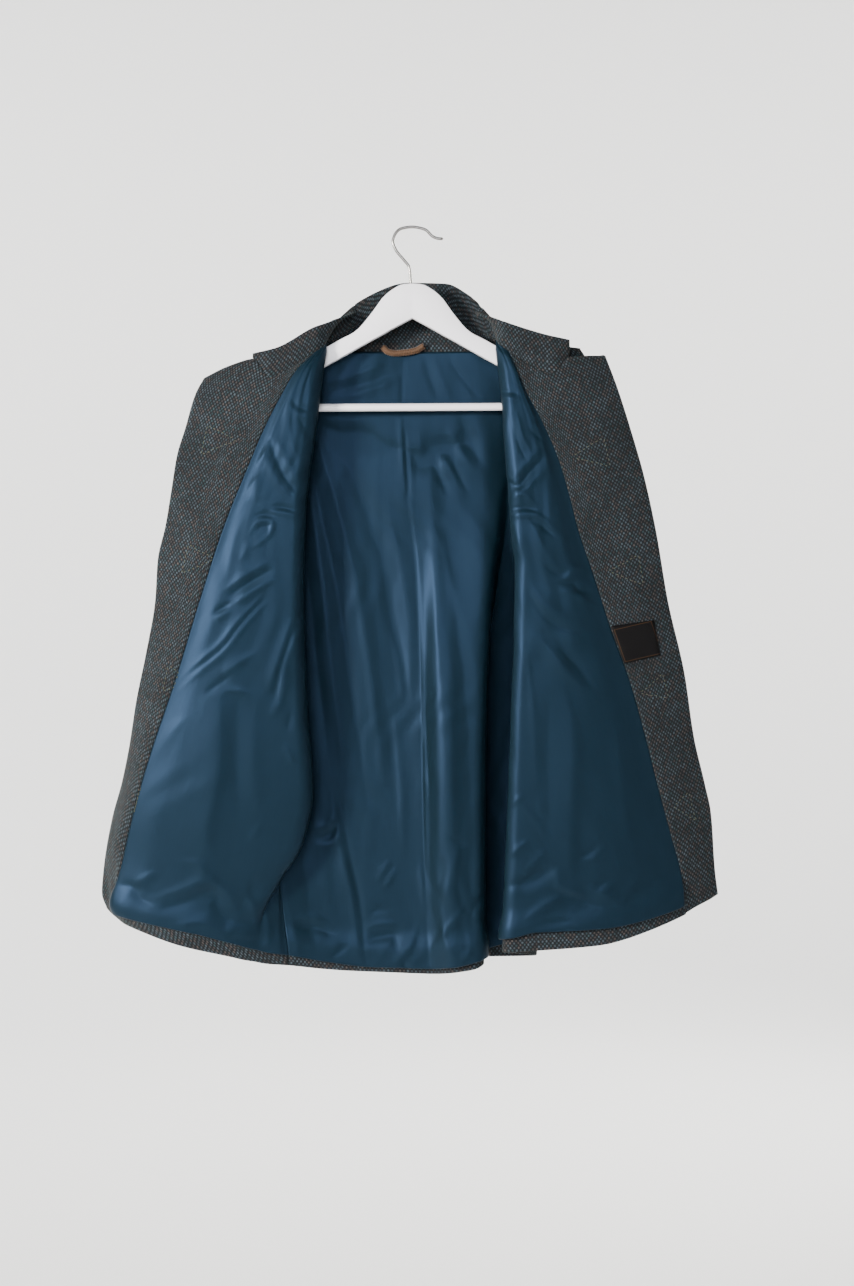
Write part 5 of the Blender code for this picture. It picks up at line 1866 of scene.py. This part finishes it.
@dataclass(frozen=True)
class Braid:
    """Braided rayon cord: three brown strands of fine twisted threads with a dull sheen."""

    colour: str = "#5f3f20"
    dark: str = "#2c1a0a"

    def dress(self) -> None:
        """Makes the material."""
        maker = Maker("braided cord")
        # Threads 0.6 mm apart, laid on the slant.
        turned = maker.laid(*(1 / 0.0006,) * 3, Rotation=(0.0, 0.7, 0.0))
        threads = maker.add("TexWave", {
            "Vector": turned, "Scale": 0.16, "Distortion": 1.2}).outputs["Fac"]
        maker.settle(Base_Color=maker.mixed(threads, linear(self.dark), linear(self.colour)),
                     Normal=maker.bump(threads, 0.6, 0.0003), Roughness=0.7,
                     Sheen_Weight=0.2, Sheen_Roughness=0.4)


@dataclass(frozen=True)
class WovenLabel:
    """Damask label: black polyester threads woven close, with a dull silky gloss and one
    thin rust-brown line woven round it."""

    colour: str = "#0c0b0c"
    line: str = "#3c2a1a"
    size: tuple[float, float] = (56.0, 48.0)
    line_in: float = 2.4
    line_wide: float = 0.35

    def dress(self) -> None:
        """Makes the material."""
        maker = Maker("woven label", "UV")
        # Threads 0.5 mm apart both ways, so that they show.
        weave = maker.add("TexChecker", {
            "Vector": maker.laid(2000.0, 2000.0, 1.0), "Scale": 1.0}).outputs["Fac"]
        # How far each point is from the nearest edge, in millimetres.
        split = maker.add("SeparateXYZ", {0: maker.at}).outputs
        gaps = []
        for axis, long in enumerate(self.size):
            off = maker.sum("MULTIPLY_ADD", split[axis], 1000.0, -long / 2)
            gaps.append(maker.sum("SUBTRACT", long / 2, maker.sum("ABSOLUTE", off)))
        line = maker.sum("COMPARE", maker.sum("MINIMUM", *gaps), self.line_in, self.line_wide)
        ground = maker.toned(self.colour, weave, 0.8, 1.5)
        maker.settle(Base_Color=maker.mixed(line, ground, linear(self.line)),
                     Normal=maker.bump(weave, 0.4, 0.0002), Roughness=0.7,
                     Specular_IOR_Level=0.1)


@dataclass(frozen=True)
class Leather:
    """Waxed cowhide: dark brown with a fine pebbled grain, paler where it is rubbed."""

    dark: str = "#241812"
    rubbed: str = "#4a3223"

    def dress(self) -> None:
        """Makes the material."""
        maker = Maker("waxed leather")
        # Pebbles of grain about 0.8 mm across, and rubbed patches about 12 mm across.
        grain = maker.add("TexVoronoi", {"Vector": maker.at, "Scale": 1250.0})
        worn = maker.ranged(maker.noise(maker.at, 80.0, 4.0), 0.0, 1.0, 0.42, 0.7)
        maker.settle(Base_Color=maker.mixed(worn, linear(self.dark), linear(self.rubbed)),
                     Normal=maker.bump(grain.outputs["Distance"], 0.5, 0.0003), Roughness=0.5)


@dataclass(frozen=True)
class Cord:
    """Twisted cotton cord: dark brown, matt, with fine fibres along each strand."""

    colour: str = "#2a211c"

    def dress(self) -> None:
        """Makes the material."""
        maker = Maker("cotton cord")
        fibres = maker.noise(maker.at, 1800.0, 3.0)
        maker.settle(Base_Color=maker.toned(self.colour, fibres, 0.6, 1.5),
                     Normal=maker.bump(fibres, 0.5, 0.0002), Roughness=0.85)


@dataclass(frozen=True)
class Horn:
    """Polished buffalo horn: amber streaks in dark brown that run along the toggle, under a
    clear gloss."""

    dark: str = "#20140d"
    amber: str = "#644624"

    def dress(self) -> None:
        """Makes the material."""
        maker = Maker("polished horn")
        # Streaks about 2 mm wide and 20 mm long.
        streak = maker.noise(maker.laid(50.0, 450.0, 450.0), detail=4.0, Distortion=0.6)
        shown = maker.ranged(streak, 0.0, 1.0, 0.38, 0.72)
        maker.settle(Base_Color=maker.mixed(shown, linear(self.dark), linear(self.amber)),
                     Roughness=maker.ranged(streak, 0.18, 0.34), IOR=1.55, Coat_Weight=0.4,
                     Coat_Roughness=0.1)


@dataclass(frozen=True)
class Thread:
    """Buttonhole thread: a thin waxed thread of one colour with a fine twist."""

    name: str
    colour: str

    def dress(self) -> None:
        """Makes the material."""
        maker = Maker(self.name)
        twist = maker.noise(maker.at, 2500.0)
        maker.settle(Base_Color=maker.toned(self.colour, twist, 0.7, 1.3), Roughness=0.6)


@dataclass(frozen=True)
class Paint:
    """Matt white wall paint on the studio's floor and sweep."""

    colour: str = "#e9e9e8"

    def dress(self) -> None:
        """Makes the material."""
        Maker("studio paint").settle(Base_Color=linear(self.colour), Roughness=0.9)


# ---------------------------------------------------------------- the studio


@dataclass
class Studio:
    """A round pale floor that sweeps up all round, soft lights, and the camera."""

    floor: float = -1.7
    flat: float = 3.4
    sweep: float = 2.2
    wall: float = 2.4

    def stage(self) -> None:
        """Models the floor, the sweep and the wall as one bowl."""
        deselect()
        bpy.ops.mesh.primitive_circle_add(vertices=96, radius=self.flat, fill_type="NGON",
                                          location=(0, 0, self.floor))
        made = bpy.context.object
        made.name = "floor"
        made.data.name = "floor"
        bpy.ops.object.transform_apply(location=True, rotation=True, scale=True)
        bpy.ops.object.mode_set(mode="EDIT")
        bpy.ops.mesh.select_all(action="SELECT")
        bpy.ops.mesh.region_to_loop()
        turns = [math.pi / 2 * n / 12 for n in range(13)]
        route = [(self.flat + self.sweep * math.sin(t), self.sweep * (1 - math.cos(t)))
                 for t in turns] + [(self.flat + self.sweep, self.sweep + self.wall)]
        for (radius, height), (new_radius, new_height) in zip(route, route[1:]):
            bpy.ops.mesh.extrude_edges_move(TRANSFORM_OT_translate={
                "value": (0, 0, new_height - height)})
            share = new_radius / radius
            bpy.ops.transform.resize(value=(share, share, 1),
                                     center_override=(0, 0, self.floor + new_height))
        bpy.ops.object.mode_set(mode="OBJECT")
        made.data.shade_smooth()
        made.data.materials.append(bpy.data.materials["studio paint"])

    def lights(self) -> None:
        """Sets a soft key light at the left, one in front, one behind and two on the backdrop."""
        for name, place, aim, size, watts, colour in (
                ("key", (-2.35, -1.95, 0.05), (0, 0, -0.5), 0.6, 200, "#fffaf4"),
                ("front", (-0.5, -3.1, 0.4), (0, 0, -0.5), 1.0, 55, "#f6f8ff"),
                ("rear", (1.6, 2.6, 0.6), (0, 0, -0.5), 1.2, 110, "#fffdf8"),
                ("backdrop left", (-1.8, 1.6, 1.9), (-1.2, 5.2, -0.4), 1.6, 215, "#ffffff"),
                ("backdrop right", (1.8, 1.6, 1.9), (1.2, 5.2, -0.4), 1.6, 190, "#ffffff")):
            data = bpy.data.lights.new(name, "AREA")
            data.size = size
            data.energy = watts
            data.color = linear(colour)[:3]
            lamp = bpy.data.objects.new(name, data)
            bpy.context.scene.collection.objects.link(lamp)
            lamp.location = place
            lamp.rotation_euler = (Vector(aim) - Vector(place)).to_track_quat(
                "-Z", "Y").to_euler()
        world = bpy.data.worlds.new("studio")
        world.use_nodes = True
        back = world.node_tree.nodes["Background"]
        back.inputs["Color"].default_value = linear("#eceef2")
        back.inputs["Strength"].default_value = 0.17
        bpy.context.scene.world = world

    def camera(self) -> None:
        """Looks at the coat from where the photograph was taken."""
        data = bpy.data.cameras.new("camera")
        data.sensor_fit = "VERTICAL"
        data.sensor_height = 36
        data.lens = 53.83
        data.clip_start = 0.05
        eye = bpy.data.objects.new("camera", data)
        bpy.context.scene.collection.objects.link(eye)
        eye.location = LOOK_FROM
        eye.rotation_euler = (math.pi / 2, 0, 0)
        bpy.context.scene.camera = eye


# ---------------------------------------------------------------- the whole


def main() -> None:
    """Makes the finishes, the studio and every piece."""
    logging.basicConfig(level=logging.INFO, format="%(message)s")
    studio = Studio()
    studio.camera()
    for substance in (Tweed(), Satin(), Lacquer(), Nickel(), Braid(), WovenLabel(), Leather(),
                   Cord(), Horn(), Thread("olive thread", "#3f432c"),
                   Thread("dark thread", "#120e0b"), Paint()):
        substance.dress()
    left = Panel(FRONT_LEFT, 1, before=BACK["left"])
    right = Panel(FRONT_RIGHT, -1, before=BACK["right"])
    back = Panel(BACK, -1, before=FRONT_LEFT["behind"], after=FRONT_RIGHT["behind"])
    Hanger().build()
    for body in (
            Body("back", ("back_left", "back_right"), back, ("side_left", "side_right"),
                 ("side_left", "side_right"), "centre", seam="centre", folds=BACK_FOLDS,
                 creases=BACK_LINING_CREASES,
                 waves=((34, 0.3), (21, 0.12)), seed=5, lining_step=0.003, lining_rows=290),
            Body("front_left", ("front_left",), left, ("side", "edge"),
                 ("side", "facing_seam"), "edge", facing_from="facing_seam",
                 folds=FRONT_FOLDS, creases=LEFT_LINING_CREASES,
                 waves=((40, 0.35), (23, 0.15)), seed=11),
            Body("front_right", ("front_right",), right, ("side", "edge"),
                 ("side", "facing_seam"), "edge", facing_from="facing_seam",
                 folds=FRONT_FOLDS, creases=RIGHT_LINING_CREASES,
                 waves=((38, 0.35), (21, 0.15)), seed=23)):
        body.tweed()
        body.lining()
        facing = body.facing()
        if facing is not None:
            side = body.name.replace("front_", "")
            tie(f"ties_{side}", facing, TIES_LEFT if side == "left" else TIES_RIGHT)
    Label().build(facing)
    NeckFacing(back).build()
    Collar().build({"front_left": left, "front_right": right, "back": back})
    Sleeve("sleeve_left", -1, left, back, creases=SLEEVE_CREASES).build()
    Sleeve("sleeve_right", 1, right, back, creases=SLEEVE_CREASES).build()
    HangingLoop().build()
    for row, height in enumerate((-0.291, -0.446, -0.597, -0.753), 1):
        Fastening(row, height).build(left, right)
    studio.stage()
    studio.lights()


if __name__ == "__main__":
    main()
